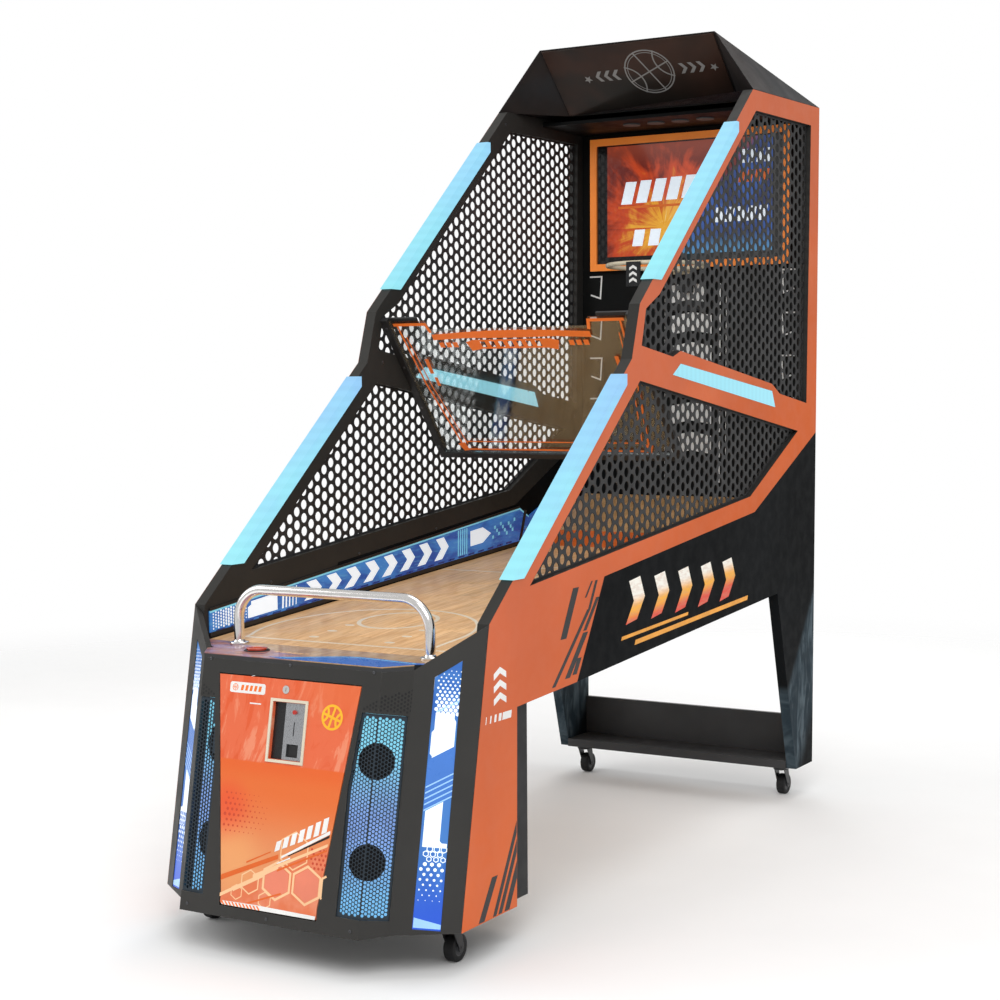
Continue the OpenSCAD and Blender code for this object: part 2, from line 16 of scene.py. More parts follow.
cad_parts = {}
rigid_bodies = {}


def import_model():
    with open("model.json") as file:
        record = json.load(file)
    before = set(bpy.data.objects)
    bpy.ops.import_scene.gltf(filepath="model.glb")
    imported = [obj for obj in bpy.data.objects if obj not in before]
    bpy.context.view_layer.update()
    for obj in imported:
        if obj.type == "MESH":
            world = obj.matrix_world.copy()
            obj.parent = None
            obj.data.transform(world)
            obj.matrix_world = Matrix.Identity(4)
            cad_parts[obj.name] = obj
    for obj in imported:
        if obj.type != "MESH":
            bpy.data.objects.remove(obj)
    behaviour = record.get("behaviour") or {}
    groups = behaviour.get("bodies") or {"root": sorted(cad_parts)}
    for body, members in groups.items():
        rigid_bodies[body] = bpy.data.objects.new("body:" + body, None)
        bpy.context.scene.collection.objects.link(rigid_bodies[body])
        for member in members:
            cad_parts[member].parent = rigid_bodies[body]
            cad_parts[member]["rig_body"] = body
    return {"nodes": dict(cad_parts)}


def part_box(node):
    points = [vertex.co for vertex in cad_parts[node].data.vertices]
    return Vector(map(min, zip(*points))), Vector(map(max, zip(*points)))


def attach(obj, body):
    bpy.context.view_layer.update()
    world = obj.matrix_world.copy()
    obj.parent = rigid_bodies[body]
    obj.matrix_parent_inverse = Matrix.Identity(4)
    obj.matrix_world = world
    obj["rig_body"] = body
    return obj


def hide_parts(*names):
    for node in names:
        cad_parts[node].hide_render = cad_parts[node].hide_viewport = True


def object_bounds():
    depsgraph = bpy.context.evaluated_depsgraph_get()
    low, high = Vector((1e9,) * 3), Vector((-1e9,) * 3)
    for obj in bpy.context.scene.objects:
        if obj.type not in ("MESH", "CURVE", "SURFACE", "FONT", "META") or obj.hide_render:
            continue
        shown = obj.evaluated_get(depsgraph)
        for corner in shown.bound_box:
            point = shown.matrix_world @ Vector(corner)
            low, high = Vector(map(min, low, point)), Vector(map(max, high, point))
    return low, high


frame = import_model()
cad_lo, cad_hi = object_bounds()
nodes = frame["nodes"]
scene = bpy.context.scene
collection = scene.collection
BODY = {n: o["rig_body"] for n, o in nodes.items()}
ROOT = BODY["front_cabinet"]
SIDES = (("left", -1), ("right", 1))

# ---------------------------------------------------------------- places
LEAN = math.atan(0.19)
GROUND = 94
LIFT = 20  # the floor lies this far below the height datum
FOLD_1 = (297, 0)
FOLD_2 = (348, 74 * math.cos(LEAN))
WING_END = (500, 181 * math.cos(LEAN))
CHEEK_TURN = math.atan2(FOLD_2[1], FOLD_2[0] - FOLD_1[0])
WING_TURN = math.atan2(WING_END[1] - FOLD_2[1], WING_END[0] - FOLD_2[0])


def datum(x, y, z):
    """A point given in mm from the foot of the front face and the height datum, in the part frame."""
    return Vector((x / 1000, cad_lo.y + y / 1000, (z + LIFT) / 1000))


def lean_dir(x, y, z):
    c, s = math.cos(LEAN), math.sin(LEAN)
    return Vector((x, y * c + z * s, -y * s + z * c))


def prow(x, y, z):
    return lean_dir(x, y, z) + Vector((0, 0, GROUND))


def plane(origin, along, up, out):
    """A function that places (a, b, height above the plane)."""
    o = Vector(origin)
    u, v, n = (Vector(d).normalized() for d in (along, up, out))
    return lambda a, b, t=0.0: datum(*(o + u * a + v * b + n * t))


def side_plane(s):
    return plane((s * 500, 0, 0), (0, 1, 0), (0, 0, 1), (s, 0, 0))


def inner_plane(s, x=458.5):
    return plane((s * x, 0, 0), (0, 1, 0), (0, 0, 1), (-s, 0, 0))


def facet_plane(s, corner, turn, sunk=0.0):
    """A folded facet of the prow that starts at this corner, on side s."""
    c, w = math.cos(turn), math.sin(turn)
    origin = prow(s * corner[0] - s * w * sunk, corner[1] + c * sunk, 0)
    return plane(origin, lean_dir(s * c, w, 0), lean_dir(0, 0, 1), lean_dir(s * w, -c, 0))


def front_facing(y):
    return plane((0, y, 0), (1, 0, 0), (0, 0, 1), (0, -1, 0))


def rear_facing(y):
    return plane((0, y, 0), (-1, 0, 0), (0, 0, 1), (0, 1, 0))


door_plane = plane(prow(0, 0, 0), (1, 0, 0), lean_dir(0, 0, 1), lean_dir(0, -1, 0))
COURT_RISE = math.radians(4.4)
court_plane = plane((0, 345, 787), (1, 0, 0), (0, math.cos(COURT_RISE), math.sin(COURT_RISE)),
                    (0, -math.sin(COURT_RISE), math.cos(COURT_RISE)))
ledge_plane = plane((0, 0, 787), (1, 0, 0), (0, 1, 0), (0, 0, 1))
wall_plane = front_facing(2632)
rear_plane = rear_facing(2650)
service_plane = rear_facing(2674)
screen_plane = front_facing(2614.3)
marquee_down = Vector((0, 2311 - 2090, 2510 - 2716)).normalized()
marquee_out = Vector((0, marquee_down.z, -marquee_down.y))
marquee_plane = plane(Vector((0, 2090, 2716)) + marquee_out * 4.5, (1, 0, 0), marquee_down, marquee_out)
SHIELD_LEAN = math.atan2(340, 432)
shield_plane = plane((0, 1251, 1725), (1, 0, 0), (0, math.sin(SHIELD_LEAN), -math.cos(SHIELD_LEAN)),
                     (0, -math.cos(SHIELD_LEAN), -math.sin(SHIELD_LEAN)))

# ---------------------------------------------------------------- flat shapes


def rect(a0, b0, a1, b1):
    return [(a0, b0), (a1, b0), (a1, b1), (a0, b1)]


def disc(a, b, r, n=24, turn=0.0, tall=1.0):
    turns = [turn + 2 * math.pi * k / n for k in range(n)]
    return [(a + r * math.cos(t), b + tall * r * math.sin(t)) for t in turns]


def arc(a, b, r, start, end, n=24):
    turns = [math.radians(start + (end - start) * k / n) for k in range(n + 1)]
    return [(a + r * math.cos(t), b + r * math.sin(t)) for t in turns]


def stroke(points, width, closed=False):
    """Quads that draw a line of this width through the points, with mitred corners."""
    pts = [Vector(p) for p in points]
    n = len(pts)
    left, right = [], []
    for i, p in enumerate(pts):
        before = pts[i - 1] if i or closed else None
        after = pts[(i + 1) % n] if i < n - 1 or closed else None
        d1 = (p - before).normalized() if before is not None else None
        d2 = (after - p).normalized() if after is not None else None
        d1, d2 = d1 or d2, d2 or d1
        n1, n2 = Vector((-d1.y, d1.x)), Vector((-d2.y, d2.x))
        m = (n1 + n2) / max(0.35, 1 + n1.dot(n2)) * width / 2
        left.append(tuple(p + m))
        right.append(tuple(p - m))
    last = n if closed else n - 1
    return [[left[i], left[(i + 1) % n], right[(i + 1) % n], right[i]] for i in range(last)]


def slash(a, b, width, height, skew):
    """A bar with level ends that leans sideways by skew."""
    return [(a, b), (a + width, b), (a + width + skew, b + height), (a + skew, b + height)]


def chevron(a, b, half, rise, band):
    """An upward arrow band centred on a, its lowest point at b."""
    return [(a - half, b), (a, b + rise), (a + half, b), (a + half, b + band), (a, b + rise + band),
            (a - half, b + band)]


def ball_outline(a, b, r, width, lean=0.0):
    """Strokes of a plain ball with four seams."""
    turn = Matrix.Rotation(math.radians(lean), 2)

    def put(points):
        return [tuple(turn @ Vector(p) + Vector((a, b))) for p in points]

    ring = stroke(put(arc(0, 0, r, 0, 360, 40)[:-1]), width, True)
    bars = stroke(put([(-r + width / 2, 0), (r - width / 2, 0)]), width)
    bars += stroke(put([(0, -r + width / 2), (0, r - width / 2)]), width)
    for s in (-1, 1):
        curve = [(s * (r * 1.32 - x), y) for x, y in arc(0, 0, r * 0.86, -52, 52, 16)]
        bars += stroke(put(curve), width)
    return ring + bars


def star(a, b, r):
    """A star with five points, its waist at a fixed share of the radius."""
    reach = [r, r * 0.42] * 5
    return [(a + d * math.sin(math.pi * k / 5), b + d * math.cos(math.pi * k / 5))
            for k, d in enumerate(reach)]


def area(ring):
    corners = zip(ring[-1:] + ring[:-1], ring)
    return sum(p[0] * q[1] - q[0] * p[1] for p, q in corners) / 2


def inset(ring, d):
    ring = ring if area(ring) > 0 else ring[::-1]
    n, out = len(ring), []
    for i in range(n):
        a, b, c = (Vector(ring[(i + k) % n]) for k in (-1, 0, 1))
        d1, d2 = (b - a).normalized(), (c - b).normalized()
        n1, n2 = Vector((-d1.y, d1.x)), Vector((-d2.y, d2.x))
        out.append(tuple(b + (n1 + n2) / (1 + n1.dot(n2)) * d))
    return out


def flat(shapes, holes=(), border=None, fold=None):
    """One sheet that covers the shapes, less the holes inside border, as (points, triangles)."""
    rings = list(shapes) + list(holes) + ([border] if border else [])
    points, faces = [], []
    for ring in rings:
        ring = ring if area(ring) > 0 else ring[::-1]
        faces.append(list(range(len(points), len(points) + len(ring))))
        points += [Vector(p) for p in ring]
    edges = []
    if fold:
        edges = [(len(points), len(points) + 1)]
        points += [Vector(p) for p in fold]
    got = delaunay_2d_cdt(points, edges, faces, 0, 1e-4)
    solid, hole = len(shapes), len(shapes) + len(holes)
    keep = []
    for tri, origin in zip(got[2], got[5]):
        origin = set(origin)
        inside = any(k < solid for k in origin)
        cut = any(solid <= k < hole for k in origin) and (border is None or hole in origin)
        if inside and not cut:
            keep.append(list(tri))
    used = sorted({i for t in keep for i in t})
    index = {v: k for k, v in enumerate(used)}
    return [tuple(got[0][i]) for i in used], [[index[i] for i in t] for t in keep]


def mirrored(low, high):
    """A ring that is the same on both sides, from its lower and upper right halves."""
    return [(-x, y) for x, y in low[::-1]] + low + high + [(-x, y) for x, y in high[::-1]]


def ink(shapes, look, high=0.3, low=0.02, holes=()):
    """A printed sheet for slab, from low to high over the surface."""
    return flat(shapes, holes), low, high, M[look]


def make(name, bm, mats, body, smooth=None):
    mesh = bpy.data.meshes.new(name)
    bmesh.ops.recalc_face_normals(bm, faces=bm.faces)
    bm.to_mesh(mesh)
    bm.free()
    for m in mats:
        mesh.materials.append(m)
    if smooth is not None:
        for p in mesh.polygons:
            p.use_smooth = True
        mesh.set_sharp_from_angle(angle=math.radians(smooth))
    obj = bpy.data.objects.new(name, mesh)
    collection.objects.link(obj)
    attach(obj, body)
    return obj


def slab(name, groups, place, body):
    """One piece from sheets: each group is (sheet, low, high, material), in mm over the plane."""
    bm, mats = bmesh.new(), []
    for (points, faces), low, high, mat in groups:
        if mat not in mats:
            mats.append(mat)
        k = mats.index(mat)
        top = [bm.verts.new(place(a, b, high)) for a, b in points]
        bottom = [bm.verts.new(place(a, b, low)) for a, b in points]
        count = {}
        for f in faces:
            for i, j in zip(f, f[1:] + f[:1]):
                count[frozenset((i, j))] = count.get(frozenset((i, j)), 0) + 1
        for f in faces:
            bm.faces.new([top[i] for i in f]).material_index = k
            bm.faces.new([bottom[i] for i in reversed(f)]).material_index = k
            for i, j in zip(f, f[1:] + f[:1]):
                if count[frozenset((i, j))] == 1:
                    bm.faces.new([bottom[i], bottom[j], top[j], top[i]]).material_index = k
    return make(name, bm, mats, body)


def circle(bm, centre, side, other, radius, turns):
    spokes = [2 * math.pi * k / turns for k in range(turns)]
    return [bm.verts.new(centre + (side * math.cos(t) + other * math.sin(t)) * radius) for t in spokes]


def lathe(bm, profile, centre, axis, turns=40):
    """Adds a turned shape, whose profile lists (radius, distance along the axis) in mm."""
    axis = Vector(axis).normalized()
    side = axis.orthogonal().normalized()
    other = axis.cross(side)
    rings = []
    for r, h in profile:
        base = centre + axis * (h / 1000)
        if r < 1e-6:
            rings.append([bm.verts.new(base)])
        else:
            rings.append(circle(bm, base, side, other, r / 1000, turns))
    for a, b in zip(rings, rings[1:]):
        for k in range(turns):
            after = (k + 1) % turns
            quad = [a[k % len(a)], a[after % len(a)], b[after % len(b)], b[k % len(b)]]
            face = list(dict.fromkeys(quad))
            if len(face) > 2:
                bm.faces.new(face)


def tube(bm, points, radius, turns=24):
    """Adds a capped round tube through the points (part frame, metres)."""
    rings, side = [], None
    for i, p in enumerate(points):
        d = (points[min(i + 1, len(points) - 1)] - points[max(i - 1, 0)]).normalized()
        side = (d.orthogonal() if side is None else side - d * side.dot(d)).normalized()
        rings.append(circle(bm, p, side, d.cross(side), radius, turns))
    for a, b in zip(rings, rings[1:]):
        for k in range(turns):
            bm.faces.new([a[k], a[(k + 1) % turns], b[(k + 1) % turns], b[k]])
    bm.faces.new(rings[0][::-1])
    bm.faces.new(rings[-1])


def outline(node, axis, at_high):
    """The outer ring of a plate's face, as pairs of the other two coordinates in datum mm."""
    bm = bmesh.new()
    bm.from_mesh(nodes[node].data)
    bmesh.ops.remove_doubles(bm, verts=bm.verts, dist=1e-6)
    level = (max if at_high else min)(v.co[axis] for v in bm.verts)
    bm.verts.index_update()
    flat_faces = {f for f in bm.faces if all(abs(v.co[axis] - level) < 1e-6 for v in f.verts)}
    links = {}
    for f in flat_faces:
        for loop in f.loops:
            if sum(g in flat_faces for g in loop.edge.link_faces) == 1:
                links[loop.vert] = loop.link_loop_next.vert
    # Always start at the same corner, because a set has no fixed order
    start = min(links, key=lambda v: v.index)
    ring, v = [], start
    while True:
        ring.append(v.co.copy())
        v = links[v]
        if v is start:
            break
    bm.free()
    pts = [[p.x * 1000, (p.y - cad_lo.y) * 1000, p.z * 1000 - LIFT] for p in ring]
    pts = [tuple(c for k, c in enumerate(p) if k != axis) for p in pts]
    out = []
    for i, p in enumerate(pts):
        a, b = Vector(pts[i - 1]), Vector(pts[(i + 1) % len(pts)])
        d1, d2 = (Vector(p) - a).normalized(), (b - Vector(p)).normalized()
        if abs(d1.x * d2.y - d1.y * d2.x) > 1e-4:
            out.append(p)
    return out


# ---------------------------------------------------------------- materials


def rgb(r, g, b):
    def lin(c):
        c /= 255
        return c / 12.92 if c <= 0.04045 else ((c + 0.055) / 1.055) ** 2.4

    return (lin(r), lin(g), lin(b), 1.0)


class Nodes:
    """A small node graph builder."""

    def __init__(self, name):
        self.mat = bpy.data.materials.new(name)
        self.mat.use_nodes = True
        self.tree = self.mat.node_tree
        self.tree.nodes.clear()
        self.where = self.add("TexCoord", out="Object")
        # Metres from the foot of the front face and the height datum
        self.x = self.dot(self.where, (1, 0, 0))
        self.y = self.dot(self.where, (0, 1, 0), -cad_lo.y)
        self.z = self.dot(self.where, (0, 0, 1), -LIFT / 1000)

    def add(self, kind, out=0, ins=(), **props):
        n = self.tree.nodes.new("ShaderNode" + kind)
        for k, v in props.items():
            setattr(n, k, v)
        for k, v in dict(ins).items():
            if isinstance(v, bpy.types.NodeSocket):
                self.tree.links.new(v, n.inputs[k])
            elif v is not None:
                n.inputs[k].default_value = v
        return n.outputs[out]

    def math(self, op, a, b=None):
        return self.add("Math", ins={0: a, 1: b}, operation=op)

    def plus(self, a, b):
        return self.math("ADD", a, b)

    def minus(self, a, b):
        return self.math("SUBTRACT", a, b)

    def times(self, a, b):
        return self.math("MULTIPLY", a, b)

    def drift(self, noise, low, high):
        """Noise turned into a value that drifts between low and high."""
        return self.ramp(noise, 0.3, 0.7, low, high)

    def cloud(self, scale, detail, low, high):
        return self.drift(self.noise(scale, detail), low, high)

    def length(self, vec):
        return self.add("VectorMath", out="Value", ins={0: vec}, operation="LENGTH")

    def dot(self, vec, direction, offset=0.0):
        d = self.add("VectorMath", out="Value", ins={0: vec, 1: direction}, operation="DOT_PRODUCT")
        return self.plus(d, offset) if offset else d

    def vec(self, x=0.0, y=0.0, z=0.0):
        return self.add("CombineXYZ", ins={0: x, 1: y, 2: z})

    def stretch(self, sx, sy, sz):
        return self.add("VectorMath", ins={0: self.where, 1: (sx, sy, sz)}, operation="MULTIPLY")

    def noise(self, scale, detail=3.0, where=None, rough=0.55, warp=0.0):
        return self.add("TexNoise", ins={"Vector": where or self.where, "Scale": scale, "Detail": detail,
                                         "Roughness": rough, "Distortion": warp})

    def ramp(self, x, lo, hi, out_lo=0.0, out_hi=1.0, smooth=True):
        return self.add("MapRange", ins={0: x, 1: lo, 2: hi, 3: out_lo, 4: out_hi},
                        interpolation_type="SMOOTHSTEP" if smooth else "LINEAR")

    def mix(self, f, a, b):
        return self.add("Mix", out=2, ins={0: f, 6: a, 7: b}, data_type="RGBA")

    def shade(self, color, k):
        """The colour made darker or lighter by a factor that may be a socket."""
        return self.add("Mix", out=2, ins={0: 1.0, 6: color, 7: self.vec(k, k, k)}, data_type="RGBA",
                        blend_type="MULTIPLY")

    def wear(self, radius):
        """1 on edges that hands and feet rub, broken up by noise."""
        bevel = self.add("Bevel", ins={"Radius": radius}, samples=4)
        geo = self.add("NewGeometry", out="Normal")
        d = self.add("VectorMath", out="Value", ins={0: bevel, 1: geo}, operation="DOT_PRODUCT")
        edge = self.ramp(self.minus(1.0, d), 0.02, 0.22)
        rubbed = self.ramp(self.noise(38, 4), 0.42, 0.66)
        return self.times(edge, rubbed), bevel

    def bump(self, height, strength, distance=0.001, normal=None):
        ins = {"Strength": strength, "Distance": distance, "Height": height}
        if normal is not None:
            ins["Normal"] = normal
        return self.add("Bump", ins=ins)

    def end(self, shader):
        out = self.tree.nodes.new("ShaderNodeOutputMaterial")
        self.tree.links.new(shader, out.inputs[0])
        return self.mat

    def surface(self, color, rough=0.5, metal=0.0, spec=0.5, coat=0.0, normal=None, glow=None, power=0.0,
                coat_rough=0.08):
        ins = {"Base Color": color, "Roughness": rough, "Metallic": metal, "Specular IOR Level": spec,
               "Coat Weight": coat, "Coat Roughness": coat_rough, "Normal": normal}
        if glow is not None:
            ins.update({"Emission Color": glow, "Emission Strength": power})
        return self.add("BsdfPrincipled", ins=ins)


def coated(name, color, rough=0.45, spec=0.35, coat=0.0, vary=0.10, wear=None, grain=900.0, bump=0.10,
           metal=0.0, radius=0.0025):
    """Paint, powder coat, laminate or moulded plastic: cloudy tone, fine grain, rubbed edges."""
    g = Nodes(name)
    cloud = g.noise(3.2, 4)
    speck = g.noise(grain, 2)
    tone = g.plus(g.drift(cloud, 1 - vary, 1 + vary), g.drift(speck, -vary / 3, vary / 3))
    col = g.shade(color, tone)
    normal = None
    if wear is not None:
        mask, normal = g.wear(radius)
        col = g.mix(g.times(mask, 0.7), col, wear)
    r = g.plus(g.cloud(14, 5, rough - 0.07, rough + 0.07), g.ramp(speck, 0, 1, -0.03, 0.03))
    n = g.bump(speck, bump, 0.0004, normal)
    return g.end(g.surface(col, r, metal, spec, coat, n))


def printed(name, color, rough=0.38, glow=0.0, vary=0.05):
    """Ink or vinyl on a board, with a faint dot screen."""
    g = Nodes(name)
    ink = g.noise(1400, 1)
    col = g.shade(color, g.plus(g.cloud(9, 3, 1 - vary, 1 + vary),
                                g.drift(ink, -0.03, 0.03)))
    return g.end(g.surface(col, g.cloud(30, 3, rough - 0.05, rough + 0.05), 0, 0.35, 0.15,
                           g.bump(ink, 0.05, 0.0002), col, glow))


def steel(name, color, rough=0.28, along="z", wear=True):
    """Brushed or plated metal."""
    g = Nodes(name)
    s = {"x": (4, 900, 900), "y": (900, 4, 900), "z": (900, 900, 4)}[along]
    brush = g.noise(1.0, 3, g.stretch(*s))
    stain = g.noise(22, 5)
    col = g.shade(color, g.plus(g.drift(brush, 0.88, 1.06), g.ramp(stain, 0.4, 0.75, 0.04, -0.10)))
    r = g.plus(g.ramp(stain, 0.35, 0.75, rough, rough + 0.14), g.drift(brush, -0.03, 0.05))
    return g.end(g.surface(col, r, 1.0, 0.5, 0, g.bump(brush, 0.08, 0.0003)))


DARK = rgb(46, 45, 43)
EDGE_WEAR = rgb(112, 110, 106)


def side_paint():
    """Orange laminate outside, dark grey on the edges and inside."""
    g = Nodes("side_laminate")
    outer = g.ramp(g.math("ABSOLUTE", g.x), 0.4993, 0.4997)
    cloud = g.noise(2.1, 4)
    speck = g.noise(1100, 2)
    wash = g.ramp(g.plus(g.times(g.z, 0.8), g.times(g.y, -0.55)), -0.35, 0.75)
    orange = g.mix(wash, rgb(214, 99, 42), rgb(206, 104, 68))
    light = g.ramp(g.noise(1.6, 2, g.stretch(1, 0.7, 1.2), warp=0.4), 0.45, 0.75)
    orange = g.mix(g.times(light, 0.35), orange, rgb(226, 124, 80))
    orange = g.shade(orange, g.plus(g.drift(cloud, 0.95, 1.05), g.drift(speck, -0.02, 0.02)))
    grey = g.shade(DARK, g.plus(g.drift(cloud, 0.85, 1.15), g.drift(speck, -0.06, 0.06)))
    mask, bevel = g.wear(0.002)
    col = g.mix(outer, g.mix(g.times(mask, 0.4), grey, EDGE_WEAR),
                g.mix(g.times(mask, 0.8), orange, rgb(96, 64, 52)))
    r = g.plus(g.cloud(17, 5, 0.40, 0.54), g.ramp(speck, 0, 1, -0.02, 0.02))
    return g.end(g.surface(col, r, 0, 0.18, 0.0, g.bump(speck, 0.06, 0.0003, bevel)))


def lower_paint():
    """Near-black printed panel with a faint blue-grey diagonal at the rear leg."""
    g = Nodes("lower_panel_print")
    speck = g.noise(1100, 2)
    col = g.shade(rgb(17, 19, 21), g.cloud(3, 4, 0.75, 1.25))
    # Two soft diagonal bands on the rear leg
    d = g.minus(g.y, g.times(g.z, 0.72))
    band = g.times(g.ramp(d, 2.11, 2.16), g.ramp(d, 2.52, 2.40))
    streak = g.ramp(g.noise(7, 4, g.stretch(1, 3.2, 1), warp=0.8), 0.40, 0.68)
    low = g.ramp(g.z, 1.02, 0.72)
    ink = g.mix(streak, rgb(46, 58, 66), rgb(92, 106, 114))
    col = g.mix(g.times(g.times(band, low), 0.9), col, ink)
    mask, bevel = g.wear(0.002)
    col = g.mix(g.times(mask, 0.5), col, rgb(88, 92, 96))
    return g.end(g.surface(col, g.cloud(20, 4, 0.52, 0.66), 0, 0.05, 0.0,
                           g.bump(speck, 0.05, 0.0003, bevel)))


def led(name, low_color, high_color, power, low, high, axis="z"):
    """Frosted acrylic with lamps behind: the colour drifts along the strip."""
    g = Nodes(name)
    along = {"y": g.y, "z": g.z}[axis]
    t = g.ramp(along, low, high, smooth=False)
    drift = g.plus(t, g.cloud(5.0, 1, -0.18, 0.18))
    col = g.mix(drift, low_color, high_color)
    spots = g.math("SINE", g.times(along, 2 * math.pi / 0.033))
    k = g.plus(g.ramp(spots, -1, 1, 0.975, 1.02), g.cloud(300, 2, -0.012, 0.012))
    facing = g.add("LayerWeight", out="Facing", ins={"Blend": 0.35})
    k = g.times(k, g.ramp(facing, 0.0, 1.0, 1.02, 0.86))
    return g.end(g.surface(rgb(38, 50, 54), 0.4, 0, 0.2, 0.0, g.bump(g.noise(700, 2), 0.04, 0.0003),
                           g.shade(col, k), power))


def plank_wood(name, base, dark, board, along="y", gloss=0.28, line=True):
    """Narrow sealed boards with their own tone, grain and end joints."""
    g = Nodes(name)
    u, v = (g.x, g.y) if along == "y" else (g.y, g.x)
    row = g.math("FLOOR", g.math("DIVIDE", u, board))
    shift = g.add("TexWhiteNoise", out="Value", ins={"Vector": g.vec(row, 3.1, 0.0)}, noise_dimensions="3D")
    run = g.plus(g.math("DIVIDE", v, 0.62), shift)
    cell = g.math("FLOOR", run)
    tone = g.add("TexWhiteNoise", out="Value", ins={"Vector": g.vec(row, cell, 0.0)}, noise_dimensions="3D")
    spread = g.add("VectorMath", ins={0: g.where, 1: g.vec(g.times(tone, 9.0), 0.0, 0.0)}, operation="ADD")
    sv = (55, 3.0, 55) if along == "y" else (3.0, 55, 55)
    grain_at = g.add("VectorMath", ins={0: spread, 1: sv}, operation="MULTIPLY")
    grain = g.noise(1.0, 5, grain_at, 0.6, 1.1)
    pore = g.noise(6.5, 3, grain_at, 0.5)
    col = g.mix(g.ramp(grain, 0.35, 0.72), base, dark)
    board_tone = g.ramp(tone, 0, 1, 0.90, 1.09, smooth=False)
    col = g.shade(col, g.plus(board_tone, g.ramp(pore, 0.45, 0.7, 0.02, -0.06)))
    edge = g.math("ABSOLUTE", g.minus(g.math("FRACT", g.math("DIVIDE", u, board)), 0.5))
    gap_u = g.ramp(edge, 0.482, 0.497)
    gap_v = g.ramp(g.math("ABSOLUTE", g.minus(g.math("FRACT", run), 0.5)), 0.4975, 0.4992)
    seam = g.math("MAXIMUM", gap_u, gap_v)
    if line:
        col = g.mix(g.times(seam, 0.42), col, rgb(104, 70, 40))
    height = g.minus(g.times(grain, 0.25), seam)
    scuff = g.ramp(g.noise(11, 5, warp=0.5), 0.4, 0.72, gloss, gloss + 0.16)
    return g.end(g.surface(col, scuff, 0, 0.22, 0.08, g.bump(height, 0.18, 0.0006), coat_rough=0.2))


def ledge_print():
    """Wood print that turns to a purple and red wash at the player's left."""
    g = Nodes("ledge_print")
    grain = g.noise(1.0, 4, g.stretch(60, 3.5, 60), 0.6, 0.8)
    wood = g.mix(g.ramp(grain, 0.35, 0.7), rgb(196, 158, 112), rgb(172, 132, 88))
    wash = g.noise(7, 4, g.stretch(1, 2.4, 1), warp=1.2)
    pink = g.mix(g.ramp(wash, 0.35, 0.6), rgb(120, 92, 118), rgb(178, 118, 102))
    pink = g.mix(g.ramp(g.noise(16, 3), 0.5, 0.62), pink, rgb(172, 140, 160))
    edge = g.plus(g.y, g.cloud(9, 3, -0.012, 0.012))
    left = g.times(g.ramp(g.plus(edge, g.times(g.x, 0.35)), 0.205, 0.19), g.ramp(g.x, 0.05, -0.08))
    col = g.mix(left, wood, pink)
    side = g.ramp(g.z, 0.7835, 0.7865)
    col = g.mix(side, rgb(38, 38, 40), col)
    return g.end(g.surface(col, g.cloud(25, 4, 0.28, 0.42), 0, 0.4, 0.3, g.bump(grain, 0.05, 0.0004)))


def door_print():
    """Orange print: streaks above, a hot middle, a pale foot."""
    g = Nodes("door_print")
    c, s = math.cos(LEAN), math.sin(LEAN)
    w = g.plus(g.times(g.y, s), g.times(g.minus(g.z, GROUND / 1000), c))
    depth = g.minus(g.times(g.y, c), g.times(g.minus(g.z, GROUND / 1000), s))
    base = g.mix(g.ramp(w, 0.14, 0.36), rgb(228, 148, 98), rgb(228, 112, 54))
    base = g.mix(g.ramp(w, 0.36, 0.42), base, rgb(228, 102, 46))
    lean = g.plus(g.times(g.x, 17.0), g.times(w, -3.2))
    streaks = g.noise(1.0, 5, g.vec(lean, 0.0, g.times(w, 4.2)), 0.62, 1.1)
    top = g.ramp(w, 0.421, 0.427)
    base = g.mix(g.times(top, 0.55), base, rgb(228, 112, 84))
    base = g.mix(g.times(g.ramp(streaks, 0.52, 0.60), g.times(top, 0.75)), base, rgb(222, 88, 44))
    base = g.mix(g.times(g.ramp(streaks, 0.46, 0.38), g.times(top, 0.6)), base, rgb(240, 158, 124))
    upper = g.times(g.ramp(w, 0.52, 0.62), g.ramp(g.x, -0.02, 0.16))
    base = g.mix(g.times(upper, 0.7), base, rgb(226, 112, 66))
    patch = g.length(g.vec(g.plus(g.x, 0.17), 0, g.minus(w, 0.29)))
    base = g.mix(g.times(g.ramp(patch, 0.11, 0.02), 0.75), base, rgb(232, 82, 48))
    glowing = g.ramp(g.length(g.vec(g.plus(g.x, 0.13), 0, g.minus(w, 0.16))), 0.13, 0.02)
    base = g.mix(g.times(glowing, 0.45), base, rgb(244, 176, 112))
    # Pinker ground under the diagonal
    under = g.ramp(g.minus(g.times(g.plus(g.x, 0.165), 0.49), g.minus(w, 0.06)), -0.002, 0.002)
    pink = g.mix(g.ramp(g.noise(12, 3), 0.4, 0.6), rgb(226, 112, 74), rgb(232, 138, 108))
    base = g.mix(g.times(under, 0.8), base, pink)
    speck = g.noise(1300, 2)
    base = g.shade(base, g.drift(speck, 0.97, 1.03))
    mask, bevel = g.wear(0.002)
    base = g.mix(g.times(mask, 0.6), base, rgb(120, 66, 44))
    inner = g.ramp(depth, 0.0165, 0.0175)
    base = g.mix(inner, base, rgb(58, 56, 54))
    return g.end(g.surface(base, g.cloud(24, 4, 0.34, 0.46), 0, 0.25, 0.08,
                           g.bump(speck, 0.04, 0.0003, bevel)))


